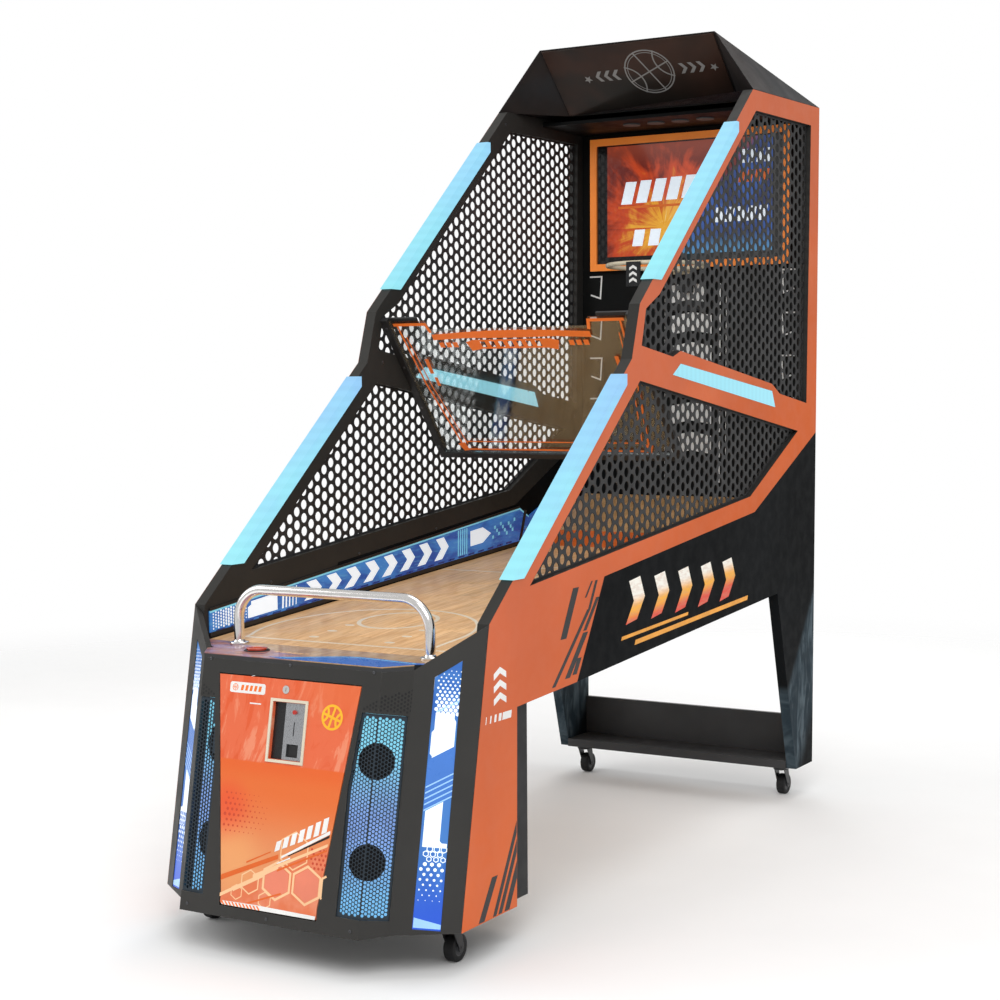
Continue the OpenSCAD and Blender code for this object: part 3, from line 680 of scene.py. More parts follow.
def wing_print():
    """Back-lit blue print."""
    g = Nodes("wing_print")
    wave = g.noise(4.5, 3, g.stretch(1.6, 1.6, 0.8), warp=0.9)
    col = g.mix(g.ramp(wave, 0.35, 0.66), rgb(40, 88, 176), rgb(76, 134, 204))
    middle = g.times(g.ramp(g.z, 0.22, 0.42), g.ramp(g.z, 0.76, 0.56))
    col = g.mix(g.times(middle, 0.45), col, rgb(84, 142, 210))
    col = g.mix(g.ramp(g.z, 0.30, 0.12), col, rgb(46, 92, 210))
    return g.end(g.surface(g.shade(col, 0.35), 0.35, 0, 0.25, 0.1,
                           g.bump(g.noise(900, 1), 0.03, 0.0002), col, 0.80))


def speaker_glow():
    g = Nodes("speaker_backlight")
    t = g.ramp(g.z, 0.15, 0.66, smooth=False)
    col = g.mix(g.ramp(t, 0.0, 0.42), rgb(112, 176, 222), rgb(118, 150, 208))
    col = g.mix(g.ramp(t, 0.45, 0.85), col, rgb(118, 190, 214))
    cloud = g.noise(9, 3, warp=0.6)
    col = g.shade(col, g.drift(cloud, 0.86, 1.12))
    return g.end(g.surface(g.shade(col, 0.3), 0.5, 0, 0.3, 0, g.bump(cloud, 0.05, 0.0004), col, 1.15))


def banner_print():
    g = Nodes("banner_print")
    wave = g.noise(6, 3, g.stretch(1, 0.6, 2.2), warp=1.0)
    col = g.mix(g.ramp(wave, 0.36, 0.64), rgb(30, 84, 178), rgb(60, 138, 220))
    fine = g.noise(1.0, 3, g.stretch(1, 22, 160), 0.6)
    col = g.mix(g.times(g.ramp(fine, 0.52, 0.66), 0.35), col, rgb(104, 184, 226))
    return g.end(g.surface(g.shade(col, 0.7), 0.34, 0, 0.4, 0.25,
                           g.bump(g.noise(900, 1), 0.03, 0.0002), col, 0.30))


def screen_image():
    """Lit screen: a fire burst at the left, deep blue at the right."""
    g = Nodes("screen_image")
    p = g.vec(g.plus(g.x, 0.10), 0.0, g.minus(g.z, 2.12))
    r = g.length(p)
    angle = g.math("ARCTAN2", g.minus(g.z, 2.12), g.plus(g.x, 0.10))
    rays = g.noise(1.0, 3, g.vec(g.times(angle, 6.0), g.times(r, 3.0), 0.0), 0.6, 0.4)
    flame = g.noise(9, 5, warp=1.6)
    heat = g.plus(g.ramp(r, 0.34, 0.0, smooth=False), g.minus(flame, 0.5))
    heat = g.plus(heat, g.times(g.minus(rays, 0.5), 0.9))
    fire = g.mix(g.ramp(heat, 0.06, 0.52), rgb(104, 28, 18), rgb(202, 70, 28))
    fire = g.mix(g.ramp(heat, 0.50, 0.92), fire, rgb(244, 176, 56))
    fire = g.mix(g.ramp(heat, 0.98, 1.25), fire, rgb(255, 238, 170))
    top = g.ramp(g.z, 2.33, 2.43)
    fire = g.mix(g.times(top, 0.35), fire, rgb(170, 84, 58))
    ice = g.noise(7, 4, warp=1.0)
    blue = g.mix(g.ramp(ice, 0.36, 0.66), rgb(22, 40, 92), rgb(44, 88, 166))
    blue = g.mix(g.ramp(g.z, 2.10, 1.99), blue, rgb(86, 150, 190))
    split = g.ramp(g.plus(g.minus(g.x, g.times(g.minus(g.z, 2.03), 0.95)),
                          g.times(g.minus(flame, 0.5), 0.12)), -0.12, -0.08)
    col = g.mix(split, fire, blue)
    inside = g.times(g.ramp(g.math("ABSOLUTE", g.x), 0.3442, 0.3428),
                    g.times(g.ramp(g.z, 2.0136, 2.015), g.ramp(g.z, 2.4344, 2.433)))
    front = g.ramp(g.y, 2.6160, 2.6150)
    col = g.shade(col, g.times(inside, front))
    return g.end(g.surface(rgb(9, 10, 12), 0.16, 0, 0.5, 0.6,
                           g.bump(g.noise(400, 2), 0.02, 0.0002), col, 0.84))


def smoked(name, tint, rough=0.12, spec=0.35, coat=0.35, warm=rgb(60, 40, 32)):
    """Smoked visor: deep tint with broad warm and grey tones."""
    g = Nodes(name)
    broad = g.noise(1.7, 3, warp=0.8)
    col = g.mix(g.ramp(broad, 0.42, 0.70), tint, warm)
    col = g.shade(col, g.cloud(5, 4, 0.85, 1.15))
    dust = g.noise(260, 3)
    mask, bevel = g.wear(0.003)
    col = g.mix(g.times(mask, 0.35), col, rgb(116, 112, 108))
    return g.end(g.surface(col, g.ramp(g.noise(8, 5), 0.3, 0.75, rough, rough + 0.14), 0, spec, coat,
                           g.bump(dust, 0.03, 0.0003, bevel), coat_rough=0.2))


def acrylic():
    g = Nodes("clear_acrylic")
    clear = g.add("BsdfTransparent", ins={0: (0.95, 0.96, 0.955, 1.0)})
    haze = g.ramp(g.noise(40, 5), 0.4, 0.8, 0.04, 0.16)
    gloss = g.add("BsdfGlossy", ins={"Color": (0.9, 0.95, 0.96, 1.0), "Roughness": haze,
                                     "Normal": g.bump(g.noise(18, 3), 0.02, 0.0005)})
    edge = g.add("Fresnel", ins={"IOR": 1.45})
    scratch = g.ramp(g.noise(1.0, 3, g.stretch(300, 30, 30), warp=0.5), 0.62, 0.72, 0.0, 0.02)
    return g.end(g.add("MixShader", ins={0: g.plus(g.times(edge, 0.3), scratch), 1: clear, 2: gloss}))


def coin_metal():
    """Dark recess at the left third, brushed plate over the rest."""
    g = Nodes("coin_mech_metal")
    brush = g.noise(1.0, 3, g.stretch(900, 900, 5))
    plate = g.ramp(g.x, -0.0046, -0.0038)
    col = g.mix(plate, rgb(24, 24, 26), g.shade(rgb(176, 178, 182), g.drift(brush, 0.82, 1.08)))
    return g.end(g.surface(col, g.drift(brush, 0.24, 0.40), g.times(plate, 0.9), 0.5, 0,
                           g.bump(brush, 0.10, 0.0003)))


def perforated_black(name, color=rgb(30, 30, 32)):
    g = Nodes(name)
    speck = g.noise(700, 2)
    col = g.shade(color, g.plus(g.cloud(5, 4, 0.8, 1.2), g.drift(speck, -0.08, 0.08)))
    chip = g.ramp(g.noise(90, 4), 0.72, 0.76)
    col = g.mix(g.times(chip, 0.5), col, rgb(96, 96, 96))
    return g.end(g.surface(col, g.cloud(30, 4, 0.42, 0.58), 0.0, 0.35, 0, g.bump(speck, 0.15, 0.0003)))


M = {
    "side": side_paint(),
    "lower": lower_paint(),
    "mesh": perforated_black("mesh_powder_coat", rgb(42, 42, 43)),
    "grille": perforated_black("grille_powder_coat", rgb(34, 46, 56)),
    "cabinet": coated("cabinet_textured_paint", DARK, 0.5, 0.35, 0.0, 0.12, EDGE_WEAR, 520, 0.22),
    "carcass": coated("carcass_paint", rgb(34, 34, 35), 0.52, 0.3, 0, 0.14, rgb(92, 92, 92), 600, 0.2),
    "frame_dark": coated("frame_powder_coat", rgb(38, 38, 39), 0.42, 0.35, 0.0, 0.12, rgb(104, 104,
                         106), 700, 0.16),
    "wall": coated("wall_laminate", rgb(17, 18, 18), 0.5, 0.12, 0.0, 0.14, rgb(56, 56, 58), 900, 0.08),
    "shelf": coated("shelf_laminate", rgb(56, 56, 57), 0.5, 0.3, 0.0, 0.14, rgb(104, 104, 106), 600, 0.14),
    "zinc": steel("zinc_plate", rgb(150, 153, 158), 0.34, "y"),
    "chrome": steel("polished_chrome", rgb(242, 240, 238), 0.10, "z"),
    "screw": steel("blackened_screw", rgb(96, 97, 100), 0.34, "x"),
    "bright_screw": steel("bright_screw", rgb(196, 198, 202), 0.24, "x"),
    "rubber": coated("wheel_rubber", rgb(24, 24, 25), 0.62, 0.3, 0.0, 0.16, None, 900, 0.3),
    "hub": coated("wheel_hub", rgb(58, 59, 62), 0.4, 0.4, 0.0, 0.10, None, 700, 0.1),
    "fork": coated("fork_paint", rgb(30, 30, 32), 0.36, 0.4, 0.0, 0.14, rgb(120, 120, 124), 700,
                   0.12, radius=0.0012),
    "plastic": coated("moulded_plastic", rgb(28, 28, 30), 0.4, 0.4, 0.0, 0.10, None, 1100, 0.16),
    "red": coated("red_button", rgb(184, 40, 28), 0.26, 0.5, 0.4, 0.08, None, 1000, 0.05),
    "cream": coated("cream_trim", rgb(222, 212, 190), 0.36, 0.4, 0.1, 0.07, rgb(170, 160, 140),
                    900, 0.06, radius=0.001),
    "rim": coated("rim_enamel", rgb(224, 214, 188), 0.30, 0.45, 0.25, 0.08, rgb(150, 120, 90), 700,
                  0.08, radius=0.002),
    "bezel": printed("bezel_gloss", rgb(250, 142, 58), 0.34, 0.16),
    "gate": coated("gate_enamel", rgb(226, 110, 34), 0.34, 0.45, 0.2, 0.08, rgb(120, 70, 40), 800, 0.08),
    "lamp": led("lamp_glass", rgb(70, 70, 68), rgb(78, 78, 76), 0.25, 2.4, 2.5),
    "led_low": led("lower_led_cover", rgb(156, 234, 246), rgb(150, 204, 246), 1.02, 1.05, 1.55),
    "led_high": led("upper_led_cover", rgb(150, 232, 242), rgb(152, 214, 248), 1.02, 1.85, 2.38),
    "bar_led": led("bar_led_cover", rgb(154, 222, 238), rgb(160, 226, 242), 1.06, 1.4, 2.3, "y"),
    "door": door_print(),
    "wing": wing_print(),
    "glow": speaker_glow(),
    "banner": banner_print(),
    "screen": screen_image(),
    "header": smoked("smoked_header", rgb(44, 45, 47), 0.5, 0.1, 0.0, rgb(46, 40, 38)),
    "marquee": smoked("smoked_marquee", rgb(38, 34, 31), 0.30, 0.3, 0.1),
    "acrylic": acrylic(),
    "coin": coin_metal(),
    "court": plank_wood("court_planks", rgb(232, 188, 138), rgb(204, 154, 102), 0.058, "y", 0.36),
    "ramp": plank_wood("ramp_planks", rgb(214, 168, 118), rgb(184, 136, 86), 0.058, "y", 0.36),
    "ledge": ledge_print(),
    "speaker": coated("speaker_cone", rgb(22, 22, 24), 0.55, 0.3, 0.0, 0.12, None, 500, 0.3),
}
# Printed inks: look, material, colour, then roughness, glow and variation where they differ
INKS = [
    ("white", "ink_white", (238, 238, 236)),
    ("line", "court_line", (232, 216, 192), 0.34),
    ("black", "ink_black", (22, 22, 23)),
    ("orange", "ink_orange", (236, 116, 44), 0.34, 0.10),
    ("peach", "ink_peach", (248, 200, 152)),
    ("deep", "ink_deep_red", (204, 70, 40)),
    ("deep_orange", "ink_deep_orange", (226, 102, 32)),
    ("salmon", "ink_salmon", (232, 132, 104)),
    ("yellow", "ink_yellow", (250, 186, 40)),
    ("grey", "ink_grey", (138, 136, 134)),
    ("blue", "ink_blue", (44, 100, 184), 0.3, 0.06),
    ("navy", "ink_navy", (22, 50, 128), 0.3, 0.12),
    ("sky", "ink_sky", (126, 206, 232), 0.3, 0.30),
    ("lit_white", "lit_white", (226, 236, 246), 0.3, 0.46, 0.02),
    ("lit_blue", "lit_blue", (60, 106, 178), 0.3, 0.55, 0.04),
    ("lit_pale", "lit_pale", (140, 182, 226), 0.3, 0.52, 0.03),
]
for look, name, color, *more in INKS:
    M[look] = printed(name, rgb(*color), *more)

CAD_LOOKS = {
    "front_cabinet": "cabinet", "base_box": "carcass", "cash_box": "zinc",
    "coin_door": "door", "coin_frame": "cream", "coin_mech": "coin", "coin_return_flap": "plastic",
    "reject_button": "red", "door_lock": "chrome", "front_ledge": "ledge",
    "court_floor": "court", "court_rails": "frame_dark", "rear_ramp": "ramp", "ball_gate": "gate",
    "shield_panel": "acrylic", "shield_frame": "frame_dark",
    "back_panel": "wall", "service_door": "frame_dark", "soffit": "wall", "downlights": "lamp",
    "header_shell": "header", "marquee_panel": "marquee", "monitor": "screen", "monitor_bezel": "bezel",
    "hoop_bracket": "frame_dark", "hoop_rim": "rim", "rim_plate": "plastic",
    "storage_shelf": "shelf", "caster_plates": "zinc",
}
PAIRED_LOOKS = {
    "side_frame": "side", "lower_panel": "lower", "edge_light_upper": "led_high",
    "edge_light_lower": "led_low", "bar_light": "bar_led", "wing_light": "wing", "banner": "banner",
    "fork_front": "fork", "fork_rear": "fork",
}
for label, s in SIDES:
    CAD_LOOKS.update({f"{node}_{label}": look for node, look in PAIRED_LOOKS.items()})
for node, look in CAD_LOOKS.items():
    data = nodes[node].data
    data.materials.clear()
    data.materials.append(M[look])

# ---------------------------------------------------------------- perforated sheets
PITCH = 41.8
HOLE = 29.8
COLUMN = PITCH * math.sqrt(3) / 2


def soft_hexagon(a, b, across, cut=0.24):
    """A hexagon with its corners cut, flat at the top and bottom."""
    r = across / math.sqrt(3)
    corner = [Vector((a + r * math.cos(t), b + r * math.sin(t))) for t in (math.pi * k / 3 for k in range(6))]
    out = []
    for k in range(6):
        for other in (k - 1, (k + 1) % 6):
            out.append(tuple(corner[k].lerp(corner[other], cut)))
    return out


for opening in ("mesh_upper", "mesh_lower"):
    ring = outline(opening + "_right", 0, True)
    border = inset(ring, 5)
    ys, zs = [p[0] for p in ring], [p[1] for p in ring]
    holes = []
    for i in range(int(min(ys) // COLUMN), int(max(ys) // COLUMN) + 2):
        for j in range(int(min(zs) // PITCH) - 1, int(max(zs) // PITCH) + 2):
            holes.append(soft_hexagon(i * COLUMN, (j + 0.5 * (i % 2)) * PITCH, HOLE))
    sheet = flat([ring], holes, border)
    for label, s in SIDES:
        node = f"{opening}_{label}"
        lo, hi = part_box(node)
        x = min(abs(lo.x), abs(hi.x)) * 1000
        piece = slab(f"perforated_{node}", [(sheet, 0, -3, M["mesh"])], inner_plane(s, x), BODY[node])
        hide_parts(node)

# Speaker strips: a perforated sheet folded on the prow's first fold
GRILLE_IN, GRILLE_OUT = 222 - FOLD_1[0], 83
GRILLE_LOW, GRILLE_HIGH = 52.5, 583.5
FLARE = [(GRILLE_IN, 380), (245 - FOLD_1[0], GRILLE_HIGH)]
SPEAKERS_AT = (195, 459)
SPEAKER_DEPTH = 60


def folded(s, sunk):
    """Places points of the unrolled strip, folded at a = 0, at a depth behind the facets."""
    c, w = math.cos(CHEEK_TURN), math.sin(CHEEK_TURN)

    def place(a, b, t=0.0):
        d = sunk - t
        x = FOLD_1[0] - d * math.tan(CHEEK_TURN / 2)
        p = (x + a, d) if a <= 1e-6 else (x + a * c, d + a * w)
        return datum(*prow(s * p[0], p[1], b))

    return place


strip = [(GRILLE_IN + 0.5, GRILLE_LOW), (GRILLE_OUT - 0.5, GRILLE_LOW), (GRILLE_OUT - 0.5, GRILLE_HIGH),
         (FLARE[1][0] + 0.5, GRILLE_HIGH), (FLARE[0][0] + 0.5, FLARE[0][1])]
FINE = 10.6


def inner_edge(b):
    k = max(0.0, (b - FLARE[0][1]) / (FLARE[1][1] - FLARE[0][1]))
    return FLARE[0][0] + k * (FLARE[1][0] - FLARE[0][0])


tiny = []
for i in range(-9, 9):
    for j in range(4, 57):
        a, b = (i + 0.5) * FINE * 0.866, (j + 0.5 * (i % 2)) * FINE
        a += 1.6 if a > 0 else -1.6
        hole = disc(a, b, 4.7, 6)
        if all(inner_edge(q) + 3 < p < GRILLE_OUT - 3 and
               GRILLE_LOW + 2.5 < q < GRILLE_HIGH - 2.5 for p, q in hole):
            tiny.append(hole)
fine_sheet = flat([strip], tiny, None, [(0, GRILLE_LOW - 5), (0, GRILLE_HIGH + 5)])
for label, s in SIDES:
    node = f"speaker_grille_{label}"
    piece = slab(f"perforated_{node}", [(fine_sheet, -2, 0, M["grille"])], folded(s, 3), BODY[node])
    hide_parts(node)

# Behind each strip: a board with a lit face, and two drivers with ring, surround, cone and cap
DRIVER = [(0, -56), (24, -56), (24, -28), (34, -26), (47, -6.2), (48, -6), (48, 1.2), (46.5, 2.0),
          (42, 2.0), (41, 0.5), (40, -1.5), (38, 1.2), (35, 1.6), (32.5, -1), (30, -3.5), (13, -12),
          (12, -9), (8, -6.5), (0, -5.5)]
bm = bmesh.new()
HALF = CHEEK_TURN / 2
lit_face = flat([[(-72, 46), (72, 46), (72, 590), (-43, 590), (-43, 584), (-69, 380), (-72, 376)]],
                [disc(0, w, 48.4, 40) for w in SPEAKERS_AT])
board_shape = flat([[(-73, 44), (73, 44), (73, 592), (-44.3, 592), (-44.3, 584), (-70.2, 380), (-73, 358)]])
for label, s in SIDES:
    out = lean_dir(s * math.sin(HALF), -math.cos(HALF), 0)
    board = plane(prow(s * (FOLD_1[0] - math.sin(HALF) * SPEAKER_DEPTH), math.cos(HALF) * SPEAKER_DEPTH, 0),
                  lean_dir(s * math.cos(HALF), math.sin(HALF), 0), lean_dir(0, 0, 1), out)
    slab(f"speaker_light_{label}", [(lit_face, 0.05, 1.2, M["glow"])], board, ROOT)
    piece = slab(f"speaker_board_{label}", [(board_shape, -6, 0, M["speaker"])], board,
                 BODY["speakers"])
    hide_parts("speakers")
    for w in SPEAKERS_AT:
        lathe(bm, DRIVER, board(0, w, 0), out, 48)
speakers = make("speaker_drivers", bm, [M["speaker"]], BODY["speakers"], 35)
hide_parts("speakers")

# ---------------------------------------------------------------- art on the side frames and lower panels
fading_bar = [slash(308 + k * 22, 624, w, 20, 4) for k, w in enumerate((3, 6, 10, 14))]
fading_bar.append(slash(394, 624, 46, 20, 4))
SLASH_FOOT, SLASH_REAR, SLASH_RISE = 97, 466, 1.85


def foot_slash(a, width):
    """A slash that climbs from the foot of the side until it meets the cabinet's rear edge."""
    ends = [(q, SLASH_FOOT + (SLASH_REAR - q) * SLASH_RISE) for q in (a, a + width)]
    return [(a, SLASH_FOOT), (a + width, SLASH_FOOT), (SLASH_REAR, ends[1][1]), (SLASH_REAR, ends[0][1])]


speed_bars = [(715, 800, 35, 140, 75), (880, 870, 15, 80, 45), (665, 670, 20, 200, 210),
              (850, 810, 20, 90, 80), (740, 685, 30, 120, 110), (785, 690, 25, 45, 30),
              (860, 905, 10, 45, 40), (265, SLASH_FOOT, 30, 110, 70)]
side_art = [slash(*b) for b in speed_bars]
side_art += [foot_slash(a, width) for a, width in ((338, 18), (366, 19), (398, 26))]
side_white = fading_bar + [chevron(384, 668 + 34 * k, 32, 16, 17) for k in range(3)]


def lower_mark(a):
    """One of the fiery chevrons that point to the rear along the lower panel."""
    return [(a, 796), (a + 74, 806), (a + 128, 872), (a + 96, 936), (a + 22, 927), (a + 54, 864)]


lower_high = [lower_mark(1120 + 172 * k) for k in range(5)]
lower_line = [[(1178, 728), (2042, 778), (2046, 793), (1186, 743)],
              [(1090, 752), (1560, 778), (1562, 788), (1094, 763)]]


def fire_print():
    g = Nodes("ink_fire")
    t = g.minus(g.z, g.times(g.y, 0.056))
    col = g.mix(g.ramp(t, 0.73, 0.775), rgb(226, 60, 30), rgb(250, 176, 34))
    col = g.mix(g.ramp(t, 0.775, 0.82), col, rgb(250, 246, 236))
    shade = g.ramp(g.noise(40, 3, g.stretch(1, 0.6, 2.5)), 0.42, 0.6)
    col = g.mix(g.times(shade, 0.25), col, rgb(196, 150, 120))
    return g.end(g.surface(col, 0.35, 0, 0.4, 0.2, g.bump(g.noise(1200, 1), 0.04, 0.0002), col, 0.08))


M["fire"] = fire_print()
M["gold"] = printed("ink_gold", rgb(238, 160, 44), 0.34, 0.08, 0.14)
for label, s in SIDES:
    place = side_plane(s)
    slab(f"side_print_{label}", [ink(side_art, "black"), ink(side_white, "white")], place,
         BODY[f"side_frame_{label}"])
    slab(f"lower_print_{label}", [ink(lower_high, "fire", 0.35), ink(lower_line, "gold")], place,
         BODY[f"lower_panel_{label}"])

# ---------------------------------------------------------------- art on the coin door


def slant(u0, w0, u1, w1, start, end):
    """A diagonal band, start and end thick."""
    return [(u0, w0), (u1, w1), (u1, w1 + end), (u0, w0 + start)]


dots = []
for i in range(10):
    for j in range(8):
        a, b = -180 + i * 15.5 + (j % 2) * 7.7, 232 + j * 14.5
        r = 5.2 * (1 - abs(j - 3.5) / 7.5) * (1 - i / 13.0)
        if r > 1.2 and abs(a) < 176:
            dots.append(disc(a, b, r, 10))
spots = [disc(128 + i * 13 + (j % 2) * 6.5, 166 + j * 12, 3.6, 10)
         for i in range(4) for j in range(5) if 128 + i * 13 < 172 + j]
hexes, fills = [], []
for a, b, r, line in ((22, 118, 50, 6.5), (120, 118, 50, 6.5), (71, 203, 50, 3.6), (-66, 104, 32, 3.6),
                      (-12, 62, 22, 3), (-108, 72, 20, 2.6)):
    cell = disc(a, b, r, 6, math.pi / 6)
    hexes += stroke(cell, line, True)
    if r > 45 and b < 150:
        fills.append(disc(a, b, r - 6, 6, math.pi / 6))
for points, line in (([(169, 93), (169, 143)], 6.5), ([(169, 143), (182, 150)], 6),
                     ([(169, 93), (172, 90)], 6)):
    hexes += stroke(points, line)
peach = [slant(-163, 53, 24, 150, 10, 8), slant(-58, 116, 177, 226, 9, 8),
         slant(-120, 72, -20, 124, 4, 3), slant(26, 178, 100, 212, 7, 3)]
deep = [slant(-165, 97, 20, 176, 15, 12), slant(-84, 152, -6, 190, 5, 3),
        slant(20, 142, 176, 214, 6, 5), slant(-96, 34, 40, 84, 5, 5)]
white_under = [slant(30, 178, 181, 259, 6, 10), slant(18, 162, 60, 181, 3, 4)]
black_under = [slant(52, 186, 180, 250, 3, 7)]
bars = []
for k in range(7):
    a, grow = 6 + 24.5 * k, 1 + 0.085 * k
    b = 193 + (a - 6) * 0.43
    bars.append([(a, b), (a + 16, b + 7), (a + 21, b + 7 + 27 * grow), (a + 5, b + 27 * grow)])
hatch = [slash(-150 + 12 * k, 33.6, 6, 10, -8) for k in range(11)]
over = white_under + black_under + bars
foot_bar = [(-154, 33.4), (157, 33.4), (158, 43), (-40, 46), (-155, 44)]
badge = [(-196, 607), (-192, 604), (-80, 604), (-76, 608), (-76, 629), (-80, 633), (-192, 633), (-196, 629)]
badge_marks = ball_outline(-178, 618.5, 9, 1.6) + [slash(-160 + 15 * k, 611, 9, 15, 3) for k in range(5)]
door_groups = [
    ink(dots, "deep", 0.2),
    ink(spots, "deep", 0.2),
    ink(fills, "salmon", 0.10),
    ink(hexes, "peach", 0.22, 0.12, deep + peach),
    ink(deep, "deep_orange", 0.30, 0.24, over),
    ink(peach, "peach", 0.38, 0.32, over),
    ink(black_under, "black", 0.44, 0.40),
    ink(white_under, "white", 0.52, 0.46),
    ink(bars, "white", 0.7, 0.54),
    ink([foot_bar], "white", 0.36, 0.24),
    ink(hatch, "orange", 0.46, 0.38),
    ink([badge], "white"),
    ink(badge_marks, "orange", 0.4, 0.32),
    ink([rect(-124, 577, -86, 580.5)], "white"),
    ink(ball_outline(152, 563, 31, 6.5, -18), "yellow"),
]
slab("door_print_art", door_groups, door_plane, BODY["coin_door"])

# ---------------------------------------------------------------- art on the wings
for label, s in SIDES:
    place = facet_plane(s, FOLD_2, WING_TURN, 2)
    halftone = []
    for j in range(13):
        for i in range(6):
            b = 712 - 9.3 * j
            a = 60 + i * 12.6 + (j % 2) * 6.3
            r = 1.6 + 4.3 * j / 12
            if 57 + r < a < 129 - r and b + r < 692 + (a - 55) * 0.72 - 3:
                halftone.append(disc(a, b, min(r, 5.6), 6, math.pi / 6))
    honey = []
    for j in range(11):
        for i in range(4):
            b = 246 - 13.4 * j
            a = 64 + i * 18.5 + (j % 2) * 9.2
            r = 9.4 * (1 - j / 12)
            if 57 + r < a < 129 - r:
                if j < 3:
                    honey += stroke(disc(a, b, r - 1.2, 6, math.pi / 6), 2.2, True)
                else:
                    honey.append(disc(a, b, r * 0.8, 6, math.pi / 6))
    blocks = [
        [(66, 600), (116, 600), (116, 588), (121, 580), (121, 462), (66, 426), (66, 486), (60, 492),
         (60, 548), (66, 556)],
        [(62, 362), (106, 386), (106, 268), (112, 262), (126, 262), (126, 250), (62, 250)],
    ]
    streaks = [[(57, b), (127, b + 42), (127, b + 46), (57, b + 4)] for b in range(342, 403, 15)]
    edges = [[(57, 40), (129, 40), (129, 52), (57, 66)], [(66, 604), (128, 640), (128, 634), (72, 602)]]
    groups = [
        ink(halftone, "lit_white", 0.2),
        ink(honey, "lit_white", 0.2),
        ink(blocks, "lit_white", 0.24),
        ink([[(57, 340), (128, 384), (128, 520), (57, 476)]], "lit_blue", 0.32, 0.26),
        ink(streaks, "lit_pale", 0.4, 0.34),
        ink(edges, "lit_pale", 0.2),
    ]
    slab(f"wing_print_{label}", groups, place, BODY[f"wing_light_{label}"])

# Dark perforated triangle over each speaker strip: its holes are painted shade, drawn as shallow black dots
for label, s in SIDES:
    small = []
    for i in range(11):
        for j in range(9):
            a, b = 6 + i * 9.2, 594 + (j + 0.5 * (i % 2)) * 10.6
            if b < 628 + a * 0.31 and a < 96:
                small.append(disc(a, b, 3.6, 6))
    left = []
    for i in range(6):
        for j in range(6):
            a, b = -9 - i * 9.2, 594 + (j + 0.5 * (i % 2)) * 10.6
            if b < 624 + a * 0.45 and a > -46:
                left.append(disc(a, b, 3.6, 6))
    slab(f"vent_dots_{label}", [ink(small, "black", 0.15, -1.2)], facet_plane(s, FOLD_1, CHEEK_TURN),
         ROOT)
    front = plane(prow(s * FOLD_1[0], 0, 0), (s, 0, 0), lean_dir(0, 0, 1), lean_dir(0, -1, 0))
    slab(f"vent_dots_front_{label}", [ink(left, "black", 0.15, -1.2)], front, ROOT)

# ---------------------------------------------------------------- court lines and ledge art
arc_left = [(-376, 64)] + arc(-82, 239, 332, 206, -4, 60) + [(250, 74)]
court_art = stroke([(-376, 62), (330, 73)], 11)
court_art += stroke(arc_left, 11)
court_art += stroke(arc(-73, 405, 118, 0, 360, 48)[:-1], 13, True)
for a in (-176, 87):
    for b in (124, 212, 300):
        court_art.append(disc(a, b, 17, 20, 0.0, 0.55))
court_art += stroke([(-455, 1240), (455, 1240)], 9)
court_art += stroke(arc(0, 1240, 150, 0, 360, 48)[:-1], 9, True)
slab("court_lines", [ink(court_art, "line", 0.35)], court_plane, BODY["court_floor"])


def ease(x):
    x = min(1.0, max(0.0, x))
    return x * x * (3 - 2 * x)


def wave_top(a):
    """Climbs to a crest, sags a little and climbs again into the corner of the ledge."""
    return 150 + 105 * ease((a + 90) / 230) - 20 * ease((a - 150) / 190) + 71 * ease((a - 340) / 130)


wave_front = [(-40, 131), (290, 131), (346, 206), (456, 289)]
wave = wave_front + [(a, wave_top(a)) for a in range(450, -91, -20)]
crest = stroke([(a, wave_top(a) - 12) for a in range(-50, 341, 30)], 4)
slab("ledge_wave", [ink([wave], "blue", 0.25), ink(crest, "sky", 0.35, 0.27)], ledge_plane,
     BODY["front_ledge"])
dashes = [rect(a, 232, a + 12, 238) for a in range(-130, -29, 20)]
dashes += [rect(a, 222, a + 14, 227) for a in range(-130, -49, 20)]
slab("ledge_dashes", [ink(dashes, "peach", 0.25)], ledge_plane, BODY["front_ledge"])

